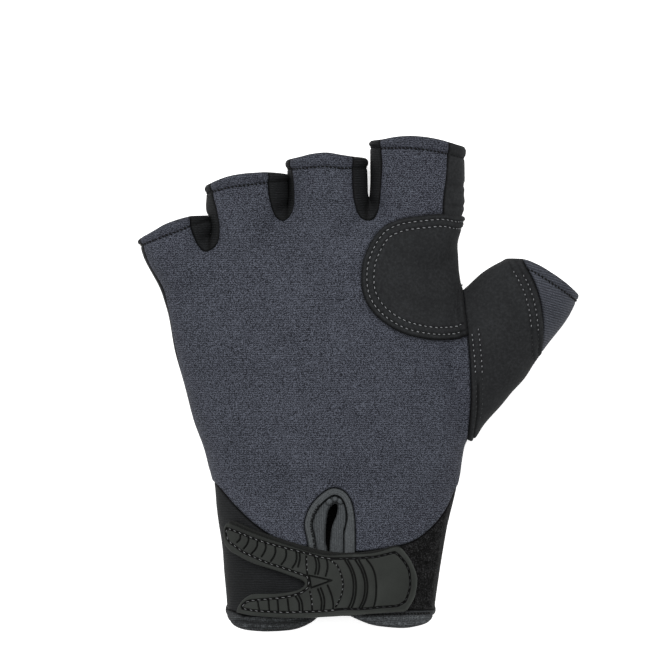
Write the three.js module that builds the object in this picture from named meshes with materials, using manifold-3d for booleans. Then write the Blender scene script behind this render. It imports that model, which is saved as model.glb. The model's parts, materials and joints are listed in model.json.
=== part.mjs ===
// Fingerless neoprene glove for the left hand, lying palm down and filled out as if worn.
// Millimetres: the floor is z = 0, the fingers point along +Y, the thumb towards +X, the back of the hand up.
import * as THREE from "three";
import { mergeVertices } from "three/addons/utils/BufferGeometryUtils.js";
import Module from "manifold-3d";

const wasm = await Module();
wasm.setup();

// Driving sizes
const wall = 2.1; // neoprene with its knit faces
const foldedHem = 0.9; // what the turned-in hem adds at a finger's mouth
const gap = 0.3; // left between two pieces
const proud = 0.3; // how far tape, hem and loop pile stand above the neoprene
const patchThickness = 1.0;
const backingThickness = 1.3;
const tabThickness = 1.2;
const grooveDepth = 0.5;
const facingThickness = 1.2;
const bindingWidth = 2.2;
const sideSeam = 15; // height of the seam between the back and the palm
const gussetSeam = 4.5; // height of the seam under each finger gusset
const thumbSeam = 5; // height of the seam under the outer side of the thumb
const widestAt = 0.45; // share of a section's height where it is widest
const sides = { hand: 26, finger: 16 }; // of the outer surface's sections
const hollowSides = { hand: 20, finger: 12 }; // of the hollow's
const curveStep = 4; // between the points of a curved seam
const runOut = 6; // how far the hollow runs on past each mouth
const lap = 1; // between the two halves of a region that changes at the side seam
const patchFoot = 11; // height where the patch ends on the side of the index finger
const loopStart = -1; // x where the loop pile begins, right of the slit
const cuffTop = 20; // y past the top of the cuff
const reach = 90; // past the glove on every side
const ceiling = 60; // above the glove

// A table with named columns: each row becomes an object.
function table(columns, rows) {
  const names = columns.split(" ");
  return rows.map((row) => Object.fromEntries(names.map((name, i) => [name, row[i]])));
}

// Sections of the hand and cuff, from the open wrist to the knuckles.
// x, y is the middle, half the half width, tilt the turn in plan, bow how far the middle leads the sides,
// end is 1 where the section closes the knuckle end, so that the wall is kept along the hand too.
const handSections = table("x y half tilt low high bow over under end", [
  [-9.4, -85, 33.6, 0, 1.2, 33.2, 0, 2.2, 2.4, 0],
  [-8.8, -66, 35.0, 0, 0.8, 34.2, 0, 2.2, 2.5, 0],
  [-8.2, -48, 37.4, 0, 0.5, 33.8, 0, 2.2, 2.6, 0],
  [-7.5, -34.4, 39.8, 0, 0.2, 33.0, 0, 2.2, 2.8, 0],
  [-7.3, -32.2, 40.1, 0, 0, 32.9, 0, 2.2, 2.9, 0],
  [-7.8, -29.6, 41.3, 0, -0.3, 33.4, 0, 2.2, 3.0, 0],
  [-8.0, -22, 42.6, 0, -0.9, 33.7, 0, 2.2, 3.0, 0],
  [-9.2, -12, 44.8, 0, -1.5, 33.5, 0, 2.2, 3.2, 0],
  [-11.2, 2, 46.8, 0, -1.6, 32.6, 0, 2.2, 3.2, 0],
  [-12.8, 14, 48.2, 0.6, -1.6, 31.2, 0, 2.2, 3.2, 0],
  [-14.4, 24.6, 48.8, 2.4, -1.4, 29.4, 0, 2.2, 3.2, 0],
  [-15.7, 33, 49.0, 4.6, -0.8, 27.6, 2, 2.2, 3.0, 0],
  [-17.0, 38.6, 49.5, 6.8, 0.2, 25.4, 6.8, 2.2, 2.8, 0.2],
  [-17.4, 41.4, 49.7, 7.4, 1.6, 22.8, 10.4, 2.2, 2.6, 0.6],
  [-17.4, 43.0, 49.4, 7.8, 4.0, 19.0, 13.2, 2.2, 2.4, 0.9],
  [-17.2, 43.4, 48.4, 8, 7.0, 15.0, 14.9, 2.2, 2.2, 1],
]);

// Sections of the fingers and thumb, from inside the hand to the mouth. fold is 1 where the hem is turned in.
const fingerColumns = "x y half tilt low high bow over under fold";
const fingerSections = {
  pinky: table(fingerColumns, [
    [-52.6, 27, 8.0, 6, 1.6, 19.0, 0, 2.2, 2.4, 0],
    [-56.4, 33.6, 9.5, 10, 0.6, 22.4, 0, 2.2, 2.6, 0],
    [-58.7, 38.8, 10.3, 13, 0.4, 22.6, 0.6, 2.3, 2.6, 0],
    [-59.8, 43.5, 11.2, 16, 0.4, 22.0, 1.2, 2.3, 2.6, 0],
    [-60.1, 46.3, 11.3, 18, 0.8, 21.1, 1.6, 2.3, 2.5, 0],
    [-60.3, 48.6, 12.0, 19, 0.3, 21.8, 2.0, 2.4, 2.5, 1],
    [-60.4, 50.2, 11.8, 19, 0.6, 21.4, 2.4, 2.4, 2.5, 1],
  ]),
  ring: table(fingerColumns, [
    [-35.4, 32, 11.2, 2, 1.0, 22.6, 0, 2.2, 2.4, 0],
    [-36.0, 46, 12.2, 2, 0.6, 24.8, 0, 2.3, 2.6, 0],
    [-36.3, 55, 12.3, 2, 0.4, 23.8, 0.8, 2.3, 2.6, 0],
    [-36.4, 60, 12.6, 3, 0.4, 23.0, 1.6, 2.3, 2.6, 0],
    [-36.5, 62.8, 12.6, 3.6, 0.8, 22.1, 2.0, 2.3, 2.5, 0],
    [-36.6, 65.1, 13.1, 3.6, 0.3, 22.8, 2.4, 2.4, 2.5, 1],
    [-36.6, 66.8, 12.9, 3.6, 0.6, 22.4, 2.9, 2.4, 2.5, 1],
  ]),
  middle: table(fingerColumns, [
    [-9.9, 33, 12.0, 0, 1.0, 23, 0, 2.2, 2.4, 0],
    [-9.9, 48, 13.0, 0, 0.6, 25.2, 0, 2.3, 2.6, 0],
    [-9.9, 58, 13.0, 0, 0.4, 24.4, 1.0, 2.3, 2.6, 0],
    [-9.9, 65, 13.0, 0, 0.4, 23.4, 2.2, 2.3, 2.6, 0],
    [-9.9, 68.4, 12.8, 0, 0.8, 22.5, 2.8, 2.3, 2.5, 0],
    [-9.9, 70.8, 13.2, 0, 0.3, 23.2, 3.3, 2.4, 2.5, 1],
    [-9.9, 72.5, 13.0, 0, 0.6, 22.8, 3.8, 2.4, 2.5, 1],
  ]),
  index: table(fingerColumns, [
    [16.8, 31, 11.6, 0, 1.0, 21.0, 0, 2.2, 2.4, 0],
    [18.2, 48, 13.9, -1, 0.6, 24.6, 0, 2.3, 2.6, 0],
    [19.3, 60, 14.9, -2, 0.4, 24.2, 1.2, 2.3, 2.6, 0],
    [19.6, 69, 15.2, -4, 0.4, 23.4, 2.8, 2.3, 2.6, 0],
    [19.8, 72.9, 15.1, -5, 0.8, 22.5, 3.6, 2.3, 2.5, 0],
    [19.9, 75.3, 15.6, -5.5, 0.3, 23.2, 4.2, 2.4, 2.5, 1],
    [19.9, 77.0, 15.3, -5.5, 0.6, 22.8, 4.7, 2.4, 2.5, 1],
  ]),
  thumb: table(fingerColumns, [
    [34.3, -17.7, 3.5, -33, 8, 15.5, 0, 2.2, 2.2, 0],
    [34.6, -12.7, 6.1, -33, 4, 19.5, 0, 2.2, 2.3, 0],
    [36.6, -5.6, 9.3, -34, 1.6, 22.6, 0, 2.2, 2.4, 0],
    [39.8, 3.3, 12.5, -35, 0.8, 24.8, 0, 2.2, 2.5, 0],
    [43.6, 11.6, 15.0, -35, 0.5, 25.8, 0, 2.2, 2.6, 0],
    [48.0, 19.6, 15.4, -35, 0.4, 26.0, 0, 2.3, 2.6, 0],
    [52.8, 26.0, 14.8, -35, 0.4, 25.6, 0.5, 2.3, 2.6, 0],
    [57.5, 30.6, 13.6, -35, 0.5, 25.0, 1.0, 2.3, 2.6, 0],
    [59.5, 32.2, 13.3, -34, 0.9, 24.1, 1.7, 2.3, 2.5, 0],
    [61.0, 33.8, 13.3, -34, 0.4, 24.8, 2.2, 2.4, 2.5, 1],
    [61.9, 35.1, 12.9, -34, 0.7, 24.4, 2.7, 2.4, 2.5, 1],
  ]),
};

// Seams in plan, each a smooth run through a few points
const archSeam = run([
  [-90, -14], [-54, -26], [-47.4, -32.4], [-40.6, -40.2], [-33, -47.2], [-24, -52.2], [-6, -55.6],
  [14.2, -53.4], [23.4, -48.3], [29, -41.2], [32.7, -33.2], [38, -27], [90, -24],
]);
const palmCuffSeam = -32.6;
const thumbBaseSeam = run([
  [34, 31.2], [34.7, 27.6], [35.2, 23], [36, 16], [36.8, 6], [37.2, -4], [37, -11], [36.2, -19.5],
]);
const thumbSideSeam = run([
  [51.5, 46], [54.1, 41.1], [58.4, 34.2], [60.7, 26.6], [61.5, 18.6], [60, 12],
]);
const indexSideSeam = run([
  [30.3, 84], [29.4, 69.1], [28.4, 59.6], [28.6, 52], [30.4, 42], [33.4, 33], [36.5, 29],
]);
const gussetEdges = {
  pinky_ring: run([
    [-58.6, 60], [-55.8, 52], [-53.1, 46.7], [-50.8, 43.8], [-48.2, 44.7], [-46.2, 47.4],
    [-45.9, 51.6], [-46.5, 56.6], [-48.1, 62], [-49.6, 72],
  ]),
  ring_middle: run([
    [-29.2, 76], [-29, 63], [-28, 57.6], [-25.4, 53.8], [-23, 55], [-21.8, 59.6], [-21.4, 66], [-21.9, 80],
  ]),
  middle_index: run([
    [-1.5, 80], [-1.3, 62], [0.3, 55.5], [3, 54], [5.6, 55.8], [6.6, 62], [7.4, 70], [7.5, 86],
  ]),
};
const patchEdge = run([
  [44, 58], [34, 55.4], [28.2, 56], [22.8, 55.6], [13.2, 54], [6.3, 49.6], [2, 41.7], [1, 34],
  [2.3, 27.5], [6.6, 21.6], [14.2, 16.7], [23.8, 14.4], [32.5, 14.6], [36, 15.6], [40, 18],
]);

// Outlines of the slit, strap and cuff end in plan
const slitOuter = run([
  [-13.2, -90], [-14.4, -70], [-16.4, -53.6], [-17.6, -46], [-15.4, -40], [-11, -35.6], [-7.4, -34.4],
  [-3.6, -36.4], [-1.4, -42], [-0.9, -53.6], [-1.4, -70], [-2, -90],
]);
const facingSlot = run([
  [-7.9, -39.2], [-9.6, -41.6], [-10.4, -48], [-10.4, -60], [-10.6, -90],
]).concat(run([
  [-7.8, -90], [-8.4, -70], [-9.1, -54], [-8.7, -47], [-7.4, -43], [-6.9, -39.8],
]));
const facingEnd = -75;
const palmEnd = -76.9;
const hemStart = { back: -75.2, palm: -72 };
const cuffEnd = [
  [[-90, -76.2], [-43.4, -76.4]],
  [[-42.6, -78], [-40, -79.9], [-34.6, -81.4], [-28.7, -81.8], [-21.5, -81], [-16, -78.8], [-12.6, -76]],
  [[-3, -75.6], [1.2, -77.6], [7, -79.6], [15.8, -80.5], [21.8, -79.6], [24.2, -78]],
  [[24.8, -76.4], [90, -76.2]],
].flatMap((part) => run(part));
const strapOutline = [
  [[-41.4, -48.4], [-41.4, -46.2], [-39.6, -45.2], [-33, -48.2], [-23.4, -51.6], [-11.2, -54.9],
    [-2, -55.8], [6.9, -54.7], [11.6, -53.4], [14, -54.4]],
  [[14.4, -54.8], [16.8, -59.6], [18, -66], [17.2, -71], [15, -74.5]],
  [[13.6, -75], [2.6, -75.8], [-9.2, -76.7], [-20, -77.1], [-31.7, -76.7], [-37.2, -75.8]],
  [[-38, -75], [-37.6, -73.4], [-35.6, -71.4], [-31.7, -69.6], [-25.7, -69.3], [-20.8, -68.4],
    [-17.7, -66.8], [-17.2, -65.2], [-18.4, -63.2], [-22.8, -62.1], [-28.7, -60.2], [-34, -58.2],
    [-38.6, -54.9], [-40.9, -51.4]],
].flatMap((part) => run(part));
const tabOutline = [
  [[-40.5, -49.4], [-40.3, -47.5], [-36.6, -48.3], [-27.8, -51.7], [-16.7, -55.4], [-9.9, -57], [-1.5, -57.4],
    [6.4, -56], [11.4, -54.9]],
  [[12.7, -55.7], [15.1, -60], [16.5, -65.8], [15.7, -70.4], [13.9, -73.3]],
  [[12.4, -73.7], [3.8, -74.4], [-6.7, -75.1], [-17.3, -75.7], [-27.8, -75.3], [-35.4, -74.7]],
  [[-36.1, -73.9], [-33.6, -71.9], [-29, -71], [-23.4, -70.8], [-18.8, -69.4], [-16.2, -67.6],
    [-15.8, -65.2], [-17, -63], [-20, -61.3], [-27.8, -59], [-33.4, -56.9], [-37.4, -53.7]],
].flatMap((part) => run(part));

// Ribs of the moulded face: each groove is an arc between two points that bulges to the right.
const ribGrooves = table("topX topY footX footY bulge", [
  [-38.2, -48.4, -38.6, -53, 0.8],
  [-35.2, -49.6, -35.4, -55.2, 1],
  [-32.2, -50.8, -32.2, -57, 1.1],
  [-29.2, -52, -29, -58.4, 1.2],
  [-26.2, -53, -25.8, -59.4, 1.2],
  [-23.2, -54, -22.6, -60.4, 1.2],
  [-20.2, -54.8, -19.4, -61.4, 1.2],
  [-33, -71.4, -33, -75.4, 0.7],
  [-29.4, -71.2, -29.4, -75.6, 0.8],
  [-25.8, -71, -25.8, -75.6, 0.8],
  [-22.2, -70.6, -22.2, -75.6, 0.9],
  [-18.8, -69.6, -18.8, -75.4, 1],
  [-3.8, -57.6, -3.4, -74.2, 3],
  [-0.2, -57.6, 0.2, -74, 2.8],
  [3.4, -57.2, 3.8, -73.8, 2.6],
]);
const grooveWidth = 0.6;

// A smooth run through points in plan, in equal steps of about curveStep.
function run(points) {
  const curve = new THREE.SplineCurve(points.map(([x, y]) => new THREE.Vector2(x, y)));
  const steps = Math.max(points.length, Math.round(curve.getLength() / curveStep));
  return curve.getSpacedPoints(steps);
}

// A manifold solid from a closed geometry.
function solidOf(geometry) {
  geometry.deleteAttribute("normal");
  geometry.deleteAttribute("uv");
  const merged = mergeVertices(geometry, 1e-4);
  return new wasm.Manifold(new wasm.Mesh({
    numProp: 3,
    vertProperties: merged.attributes.position.array,
    triVerts: new Uint32Array(merged.index.array),
  }));
}

// A named mesh from the largest body of a manifold solid: a cut can leave a crumb where two seams cross.
function meshOf(name, solid, material) {
  const [main] = solid.decompose().sort((a, b) => b.volume() - a.volume());
  const { vertProperties, triVerts, numProp } = main.getMesh();
  const positions = new Float32Array(triVerts.length * 3);
  triVerts.forEach((vertex, i) => {
    positions.set(vertProperties.subarray(vertex * numProp, vertex * numProp + 3), i * 3);
  });
  const geometry = new THREE.BufferGeometry();
  geometry.setAttribute("position", new THREE.BufferAttribute(positions, 3));
  geometry.computeVertexNormals();
  const mesh = new THREE.Mesh(geometry, material);
  mesh.name = name;
  return mesh;
}

// One ring of a tube: a superellipse, boxier below, pressed flat where it would pass the floor.
function ringOf(section, inset, count) {
  const tilt = THREE.MathUtils.degToRad(section.tilt);
  const middle = section.low + (section.high - section.low) * widestAt;
  const half = section.half - inset;
  return Array.from({ length: count }, (_, i) => {
    const turn = (2 * Math.PI * i) / count;
    const [cos, sin] = [Math.cos(turn), Math.sin(turn)];
    const power = 2 / (sin < 0 ? section.under : section.over);
    const across = Math.sign(cos) * Math.abs(cos) ** power;
    const up = Math.sign(sin) * Math.abs(sin) ** power;
    const rise = sin < 0 ? middle - section.low - inset : section.high - middle - inset;
    const along = section.bow * (1 - across ** 2) - inset * (section.end ?? 0);
    return new THREE.Vector3(
      section.x + half * across * Math.cos(tilt) - along * Math.sin(tilt),
      section.y + half * across * Math.sin(tilt) + along * Math.cos(tilt),
      Math.max(middle + rise * up, inset),
    );
  });
}

// A closed tube through rings of equal length, with a fan over each end.
function loft(rings) {
  const count = rings[0].length;
  const positions = [];
  const face = (...corners) => corners.forEach((corner) => positions.push(corner.x, corner.y, corner.z));
  for (let r = 0; r + 1 < rings.length; r += 1) {
    for (let i = 0; i < count; i += 1) {
      const next = (i + 1) % count;
      face(rings[r][i], rings[r + 1][next], rings[r][next]);
      face(rings[r][i], rings[r + 1][i], rings[r + 1][next]);
    }
  }
  for (const [ring, turned] of [[rings[0], false], [rings.at(-1), true]]) {
    const centre = ring.reduce((sum, point) => sum.add(point), new THREE.Vector3()).divideScalar(count);
    for (let i = 0; i < count; i += 1) {
      const next = (i + 1) % count;
      face(centre, ...(turned ? [ring[next], ring[i]] : [ring[i], ring[next]]));
    }
  }
  const geometry = new THREE.BufferGeometry();
  geometry.setAttribute("position", new THREE.BufferAttribute(new Float32Array(positions), 3));
  return solidOf(geometry);
}

// A tube's section moved along the tube.
function moved(section, distance) {
  const tilt = THREE.MathUtils.degToRad(section.tilt);
  return {
    ...section,
    x: section.x - distance * Math.sin(tilt),
    y: section.y + distance * Math.cos(tilt),
  };
}

// The whole glove as one solid, its surface moved in by inset. The hollow also runs out through each mouth.
function gloveSolid(inset, hollow = false) {
  const count = hollow ? hollowSides : sides;
  const wrist = hollow ? [moved(handSections[0], -runOut)] : [];
  const hand = [...wrist, ...handSections].map((section) => ringOf(section, inset, count.hand));
  let glove = loft(hand);
  for (const sections of Object.values(fingerSections)) {
    const mouth = hollow ? [moved(sections.at(-1), runOut)] : [];
    const rings = [...sections, ...mouth].map((section) => {
      const hem = hollow ? foldedHem * section.fold : 0;
      return ringOf(section, inset + hem, count.finger);
    });
    glove = glove.add(loft(rings));
  }
  return glove;
}

// An outline in plan moved out by a distance, along each corner's bisector.
function grown(outline, distance) {
  const turn = THREE.ShapeUtils.area(outline) > 0 ? 1 : -1;
  const count = outline.length;
  return outline.map((point, i) => {
    const before = outline[(i + count - 1) % count];
    const after = outline[(i + 1) % count];
    const into = point.clone().sub(before).normalize();
    const out = after.clone().sub(point).normalize();
    const bisector = into.add(out).normalize();
    const normal = new THREE.Vector2(bisector.y, -bisector.x).multiplyScalar(turn);
    const share = Math.max(0.5, Math.abs(bisector.dot(out)));
    return point.clone().addScaledVector(normal, distance / share);
  });
}

// An upright block over an outline in plan, between two heights.
function block(outline, low, high, growth = 0) {
  const shape = new THREE.Shape(growth ? grown(outline, growth) : outline);
  const geometry = new THREE.ExtrudeGeometry(shape, { depth: high - low, bevelEnabled: false });
  geometry.translate(0, 0, low);
  return solidOf(geometry);
}

// A region to cut with: small stays half a gap inside its seam, and large half a gap outside.
function region(outline, low = -reach, high = ceiling) {
  return {
    small: block(outline, low + gap / 2, high, -gap / 2),
    large: block(outline, low - gap / 2, high, gap / 2),
  };
}

// A region that takes in the whole wall where that stands upright, up to the height of the side seam.
function wallRegion(outline, low) {
  const above = region(outline, low);
  return {
    small: above.small.add(block(outline, low + gap / 2, sideSeam, wall)),
    large: above.large.add(block(outline, low - gap / 2, sideSeam + gap, wall + gap)),
  };
}

const corner = (x, y) => new THREE.Vector2(x, y);

// A rectangle in plan, from its lowest to its highest corner.
function rectangle(x0, y0, x1, y1) {
  return [corner(x0, y0), corner(x1, y0), corner(x1, y1), corner(x0, y1)];
}

// The wall of the whole glove, before its seams are cut
const skin = gloveSolid(0);
const hollow = gloveSolid(wall, true);
const shell = skin.subtract(hollow);

// Regions between the seams, each closed by corners that lie clear of the glove
const beyondIndex = [corner(44, 40), corner(44, 84)];
const beyondThumb = [corner(48, -26), corner(reach, -26), corner(reach, 70), corner(42, 60)];
const beyondThumbTip = [corner(reach, 2), corner(reach, 46)];
const handAbove = region([...archSeam, corner(reach, reach), corner(-reach, reach)], sideSeam);
const handBelow = region(rectangle(-reach, palmCuffSeam, reach, reach));
const wholePlan = rectangle(-reach, -reach, reach, reach);
const palmHalf = {
  small: block(wholePlan, -reach, sideSeam - gap / 2),
  large: block(wholePlan, -reach, sideSeam + gap / 2),
};
const gussets = Object.fromEntries(
  Object.entries(gussetEdges).map(([name, edge]) => [name, wallRegion(edge, gussetSeam)]),
);
const indexSide = region([...indexSideSeam, ...beyondIndex]);
const thumb = region([...thumbBaseSeam, ...beyondThumb]);
const thumbOuter = region([...thumbSideSeam, ...beyondThumbTip], thumbSeam);
const slit = region(slitOuter, sideSeam);
const slitHole = block(slitOuter, -reach, ceiling, -bindingWidth);

// The cuff runs from the arch to its lobed end on the back, and between two straight lines on the palm side.
const backEnd = block([...cuffEnd, corner(reach, cuffTop), corner(-reach, cuffTop)], sideSeam - lap, ceiling);
const withinEnd = backEnd.add(block(rectangle(-reach, palmEnd, reach, cuffTop), -reach, sideSeam));
const hemBack = block(rectangle(-reach, -reach, reach, hemStart.back), sideSeam - lap, ceiling);
const hemRegion = hemBack.add(block(rectangle(-reach, -reach, reach, hemStart.palm), -reach, sideSeam));
const hemClearance = hemRegion.translate([0, gap, 0]);
const handLarge = handAbove.large.add(handBelow.large.intersect(palmHalf.large));
const cuffWall = shell.subtract(handLarge).subtract(thumb.large).intersect(withinEnd);

// Back of the hand and fingers
const gussetCuts = Object.values(gussets).map((cut) => cut.large);
const backPanel = [...gussetCuts, indexSide.large, thumb.large, slit.large].reduce(
  (solid, cut) => solid.subtract(cut),
  shell.intersect(handAbove.small),
);

// Palm, undersides of the fingers and outer side of the index finger
const palmPanel = [...gussetCuts, thumb.large].reduce(
  (solid, cut) => solid.subtract(cut),
  shell.intersect(handBelow.small).intersect(palmHalf.small.add(indexSide.small)),
);

// Thumb
const thumbWall = shell.intersect(thumb.small);
const thumbPanel = thumbWall.subtract(thumbOuter.large);
const thumbBack = thumbWall.intersect(thumbOuter.small);

// Patch over the index knuckle, laid on the surface
const patchBlock = block(patchEdge, patchFoot, ceiling);
const webPatch = gloveSolid(-gap - patchThickness).subtract(gloveSolid(-gap)).intersect(patchBlock)
  .subtract(thumb.large);

// Cuff
const proudShell = gloveSolid(-proud).subtract(hollow);
const loopBlock = region(rectangle(loopStart, -reach, reach, cuffTop), sideSeam);
const cuffOnly = cuffWall.subtract(hemClearance).subtract(slit.large);
const cuffBand = cuffOnly.subtract(loopBlock.large);
const loopPanel = proudShell.subtract(handLarge).intersect(withinEnd).subtract(hemClearance)
  .subtract(slit.large).intersect(loopBlock.small);
const slitBinding = proudShell.intersect(slit.small).subtract(slitHole).intersect(withinEnd);
const cuffHem = proudShell.intersect(hemRegion).intersect(withinEnd).subtract(slit.large);
const facingShell = gloveSolid(wall + gap).subtract(gloveSolid(wall + gap + facingThickness, true));
const facingBlock = block(slitOuter, sideSeam, ceiling);
const aboveFacingEnd = block(rectangle(-reach, facingEnd, reach, cuffTop), 0, ceiling);
const slitFacing = facingShell.intersect(facingBlock).intersect(aboveFacingEnd)
  .subtract(block(facingSlot, 0, ceiling));

// Strap: a backing that stands clear of the binding, and a ribbed moulded face on it
const strapSeat = proud + gap;
const backing = gloveSolid(-strapSeat - backingThickness).subtract(gloveSolid(-strapSeat));
const strapBase = backing.intersect(block(strapOutline, sideSeam, ceiling));
const tabFoot = strapSeat + backingThickness + gap;
const tabTop = gloveSolid(-tabFoot - tabThickness);
const tab = tabTop.subtract(gloveSolid(-tabFoot)).intersect(block(tabOutline, sideSeam, ceiling));

// The outline of one rib groove in plan.
function grooveOutline({ topX, topY, footX, footY, bulge }) {
  const middle = [(topX + footX) / 2 + bulge, (topY + footY) / 2];
  const arc = new THREE.QuadraticBezierCurve(
    corner(topX, topY), corner(middle[0] + bulge / 2, middle[1]), corner(footX, footY),
  ).getPoints(3);
  const shifted = arc.map((point) => corner(point.x + grooveWidth, point.y)).reverse();
  return [...arc, ...shifted];
}

const grooveFloor = gloveSolid(-tabFoot - tabThickness + grooveDepth);
const strapTab = ribGrooves.reduce(
  (solid, groove) => solid.subtract(block(grooveOutline(groove), sideSeam, ceiling).subtract(grooveFloor)),
  tab,
);

// Finishes
const finish = (color, roughness) => new THREE.MeshStandardMaterial({ color, roughness, metalness: 0 });
const greyKnit = finish("#43464d", 0.9);
const blackSuede = finish("#2a2b2d", 0.95);
const blackJersey = finish("#1f2021", 0.9);
const blackPile = finish("#151516", 1);
const greyTape = finish("#505456", 0.85);
const ribbedKnit = finish("#484b4c", 0.9);
const hemBinding = finish("#3a3c3d", 0.85);
const strapWebbing = finish("#1b1c1c", 0.8);
const mouldedRubber = finish("#323432", 0.6);

const glove = new THREE.Group();
glove.add(
  meshOf("back_panel", backPanel, greyKnit),
  meshOf("palm_panel", palmPanel, blackSuede),
  ...Object.entries(gussets).map(
    ([name, cut]) => meshOf(`gusset_${name}`, shell.intersect(cut.small), blackJersey),
  ),
  meshOf("web_patch", webPatch, blackSuede),
  meshOf("thumb_panel", thumbPanel, blackSuede),
  meshOf("thumb_back", thumbBack, greyKnit),
  meshOf("cuff_band", cuffBand, blackJersey),
  meshOf("loop_panel", loopPanel, blackPile),
  meshOf("slit_binding", slitBinding, greyTape),
  meshOf("slit_facing", slitFacing, ribbedKnit),
  meshOf("cuff_hem", cuffHem, hemBinding),
  meshOf("strap_base", strapBase, strapWebbing),
  meshOf("strap_tab", strapTab, mouldedRubber),
);

export default glove;
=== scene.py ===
import json
import math

import bpy
import numpy as np
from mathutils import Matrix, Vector
from mathutils.bvhtree import BVHTree

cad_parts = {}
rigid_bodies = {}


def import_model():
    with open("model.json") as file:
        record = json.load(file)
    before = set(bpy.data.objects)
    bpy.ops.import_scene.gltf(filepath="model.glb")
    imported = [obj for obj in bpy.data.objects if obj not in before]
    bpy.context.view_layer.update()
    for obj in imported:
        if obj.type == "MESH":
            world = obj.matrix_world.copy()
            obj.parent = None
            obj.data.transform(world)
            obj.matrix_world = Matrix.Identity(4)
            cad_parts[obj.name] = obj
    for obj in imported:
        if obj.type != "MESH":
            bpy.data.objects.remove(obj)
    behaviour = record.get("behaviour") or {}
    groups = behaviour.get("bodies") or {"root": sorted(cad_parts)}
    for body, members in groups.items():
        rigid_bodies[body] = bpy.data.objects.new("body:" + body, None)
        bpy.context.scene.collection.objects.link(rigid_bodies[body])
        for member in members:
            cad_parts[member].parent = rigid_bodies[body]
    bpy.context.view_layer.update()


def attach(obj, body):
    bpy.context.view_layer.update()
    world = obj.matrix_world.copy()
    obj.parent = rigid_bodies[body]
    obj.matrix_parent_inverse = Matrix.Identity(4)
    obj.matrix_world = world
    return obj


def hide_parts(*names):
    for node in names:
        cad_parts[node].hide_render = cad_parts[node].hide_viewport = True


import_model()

mm = 0.001

glove = {
    "voxel": 0.85,  # of the remesh that joins the hand and the fingers
    "smoothing": 14,  # passes over the remeshed skin
    "handSides": 120,  # points round each ring
    "fingerSides": 72,
    "webSides": 32,
    "wall": 2.1,  # neoprene with its knit faces
    "foldedHem": 0.9,  # what a turned-in hem adds to the wall
    "seamGap": 0.08,  # from a seam to the edge of each panel
    "sideSeam": 15.0,  # height of the seam between back and palm
    "gussetSeam": 4.5,  # height of the seam under each gusset
    "thumbSeam": 5.0,  # height of the seam under the outer side of the thumb
    "palmCuffSeam": -32.6,
    "widestAt": 0.45,  # share of a section's height where it is widest
    "pastMouth": 6.5,  # how far the skin runs on before it is cut at a mouth
    "spread": 3.0,  # how far the fingers are parted while the skin is joined
    "spreadOver": 6,  # length over which a slot opens to that
}
hemThick = glove["wall"] + glove["foldedHem"]


# Named columns, one row for each section
def table(columns, rows):
    return {name: np.array([row[i] for row in rows], float) for i, name in enumerate(columns.split())}


def sectionTable(*rows):
    return table("x y half tilt low high bow over under", rows)


handSections = sectionTable(
    (-9.4, -87, 33.4, 0, 1.2, 33.0, 0, 2.2, 2.4),
    (-8.8, -66, 35.0, 0, 0.8, 34.2, 0, 2.2, 2.5),
    (-8.35, -48, 37.5, 0, 0.5, 33.8, 0, 2.2, 2.6),
    (-7.5, -34.4, 39.8, 0, 0.2, 33.0, 0, 2.2, 2.8),
    (-7.3, -32.2, 40.1, 0, 0, 32.9, 0, 2.2, 2.9),
    (-7.5, -29.6, 41.3, 0, -0.3, 33.4, 0, 2.2, 3.0),
    (-7.9, -22, 42.9, 0, -0.9, 33.7, 0, 2.2, 3.0),
    (-9.35, -12, 44.95, 0, -1.5, 33.5, 0, 2.2, 3.2),
    (-11.3, 2, 46.9, 0, -1.6, 32.6, 0, 2.2, 3.2),
    (-12.8, 14, 48.2, 0.6, -1.6, 31.2, 0, 2.2, 3.2),
    (-14.4, 24.6, 48.4, 2.4, -1.4, 29.4, 0, 2.2, 3.2),
    (-16.2, 33, 48.5, 4.6, -0.8, 27.6, 2, 2.2, 3.0),
    (-16.9, 38.6, 49.3, 6.8, 0.2, 25.4, 6.8, 2.2, 2.8),
    (-17.6, 41.4, 49.3, 7.4, 1.6, 22.8, 10.4, 2.2, 2.6),
    (-17.4, 43.0, 49.2, 7.8, 4.0, 19.0, 13.2, 2.2, 2.4),
    (-17.2, 43.4, 48.4, 8, 7.0, 15.0, 14.9, 2.2, 2.2),
)

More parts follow.
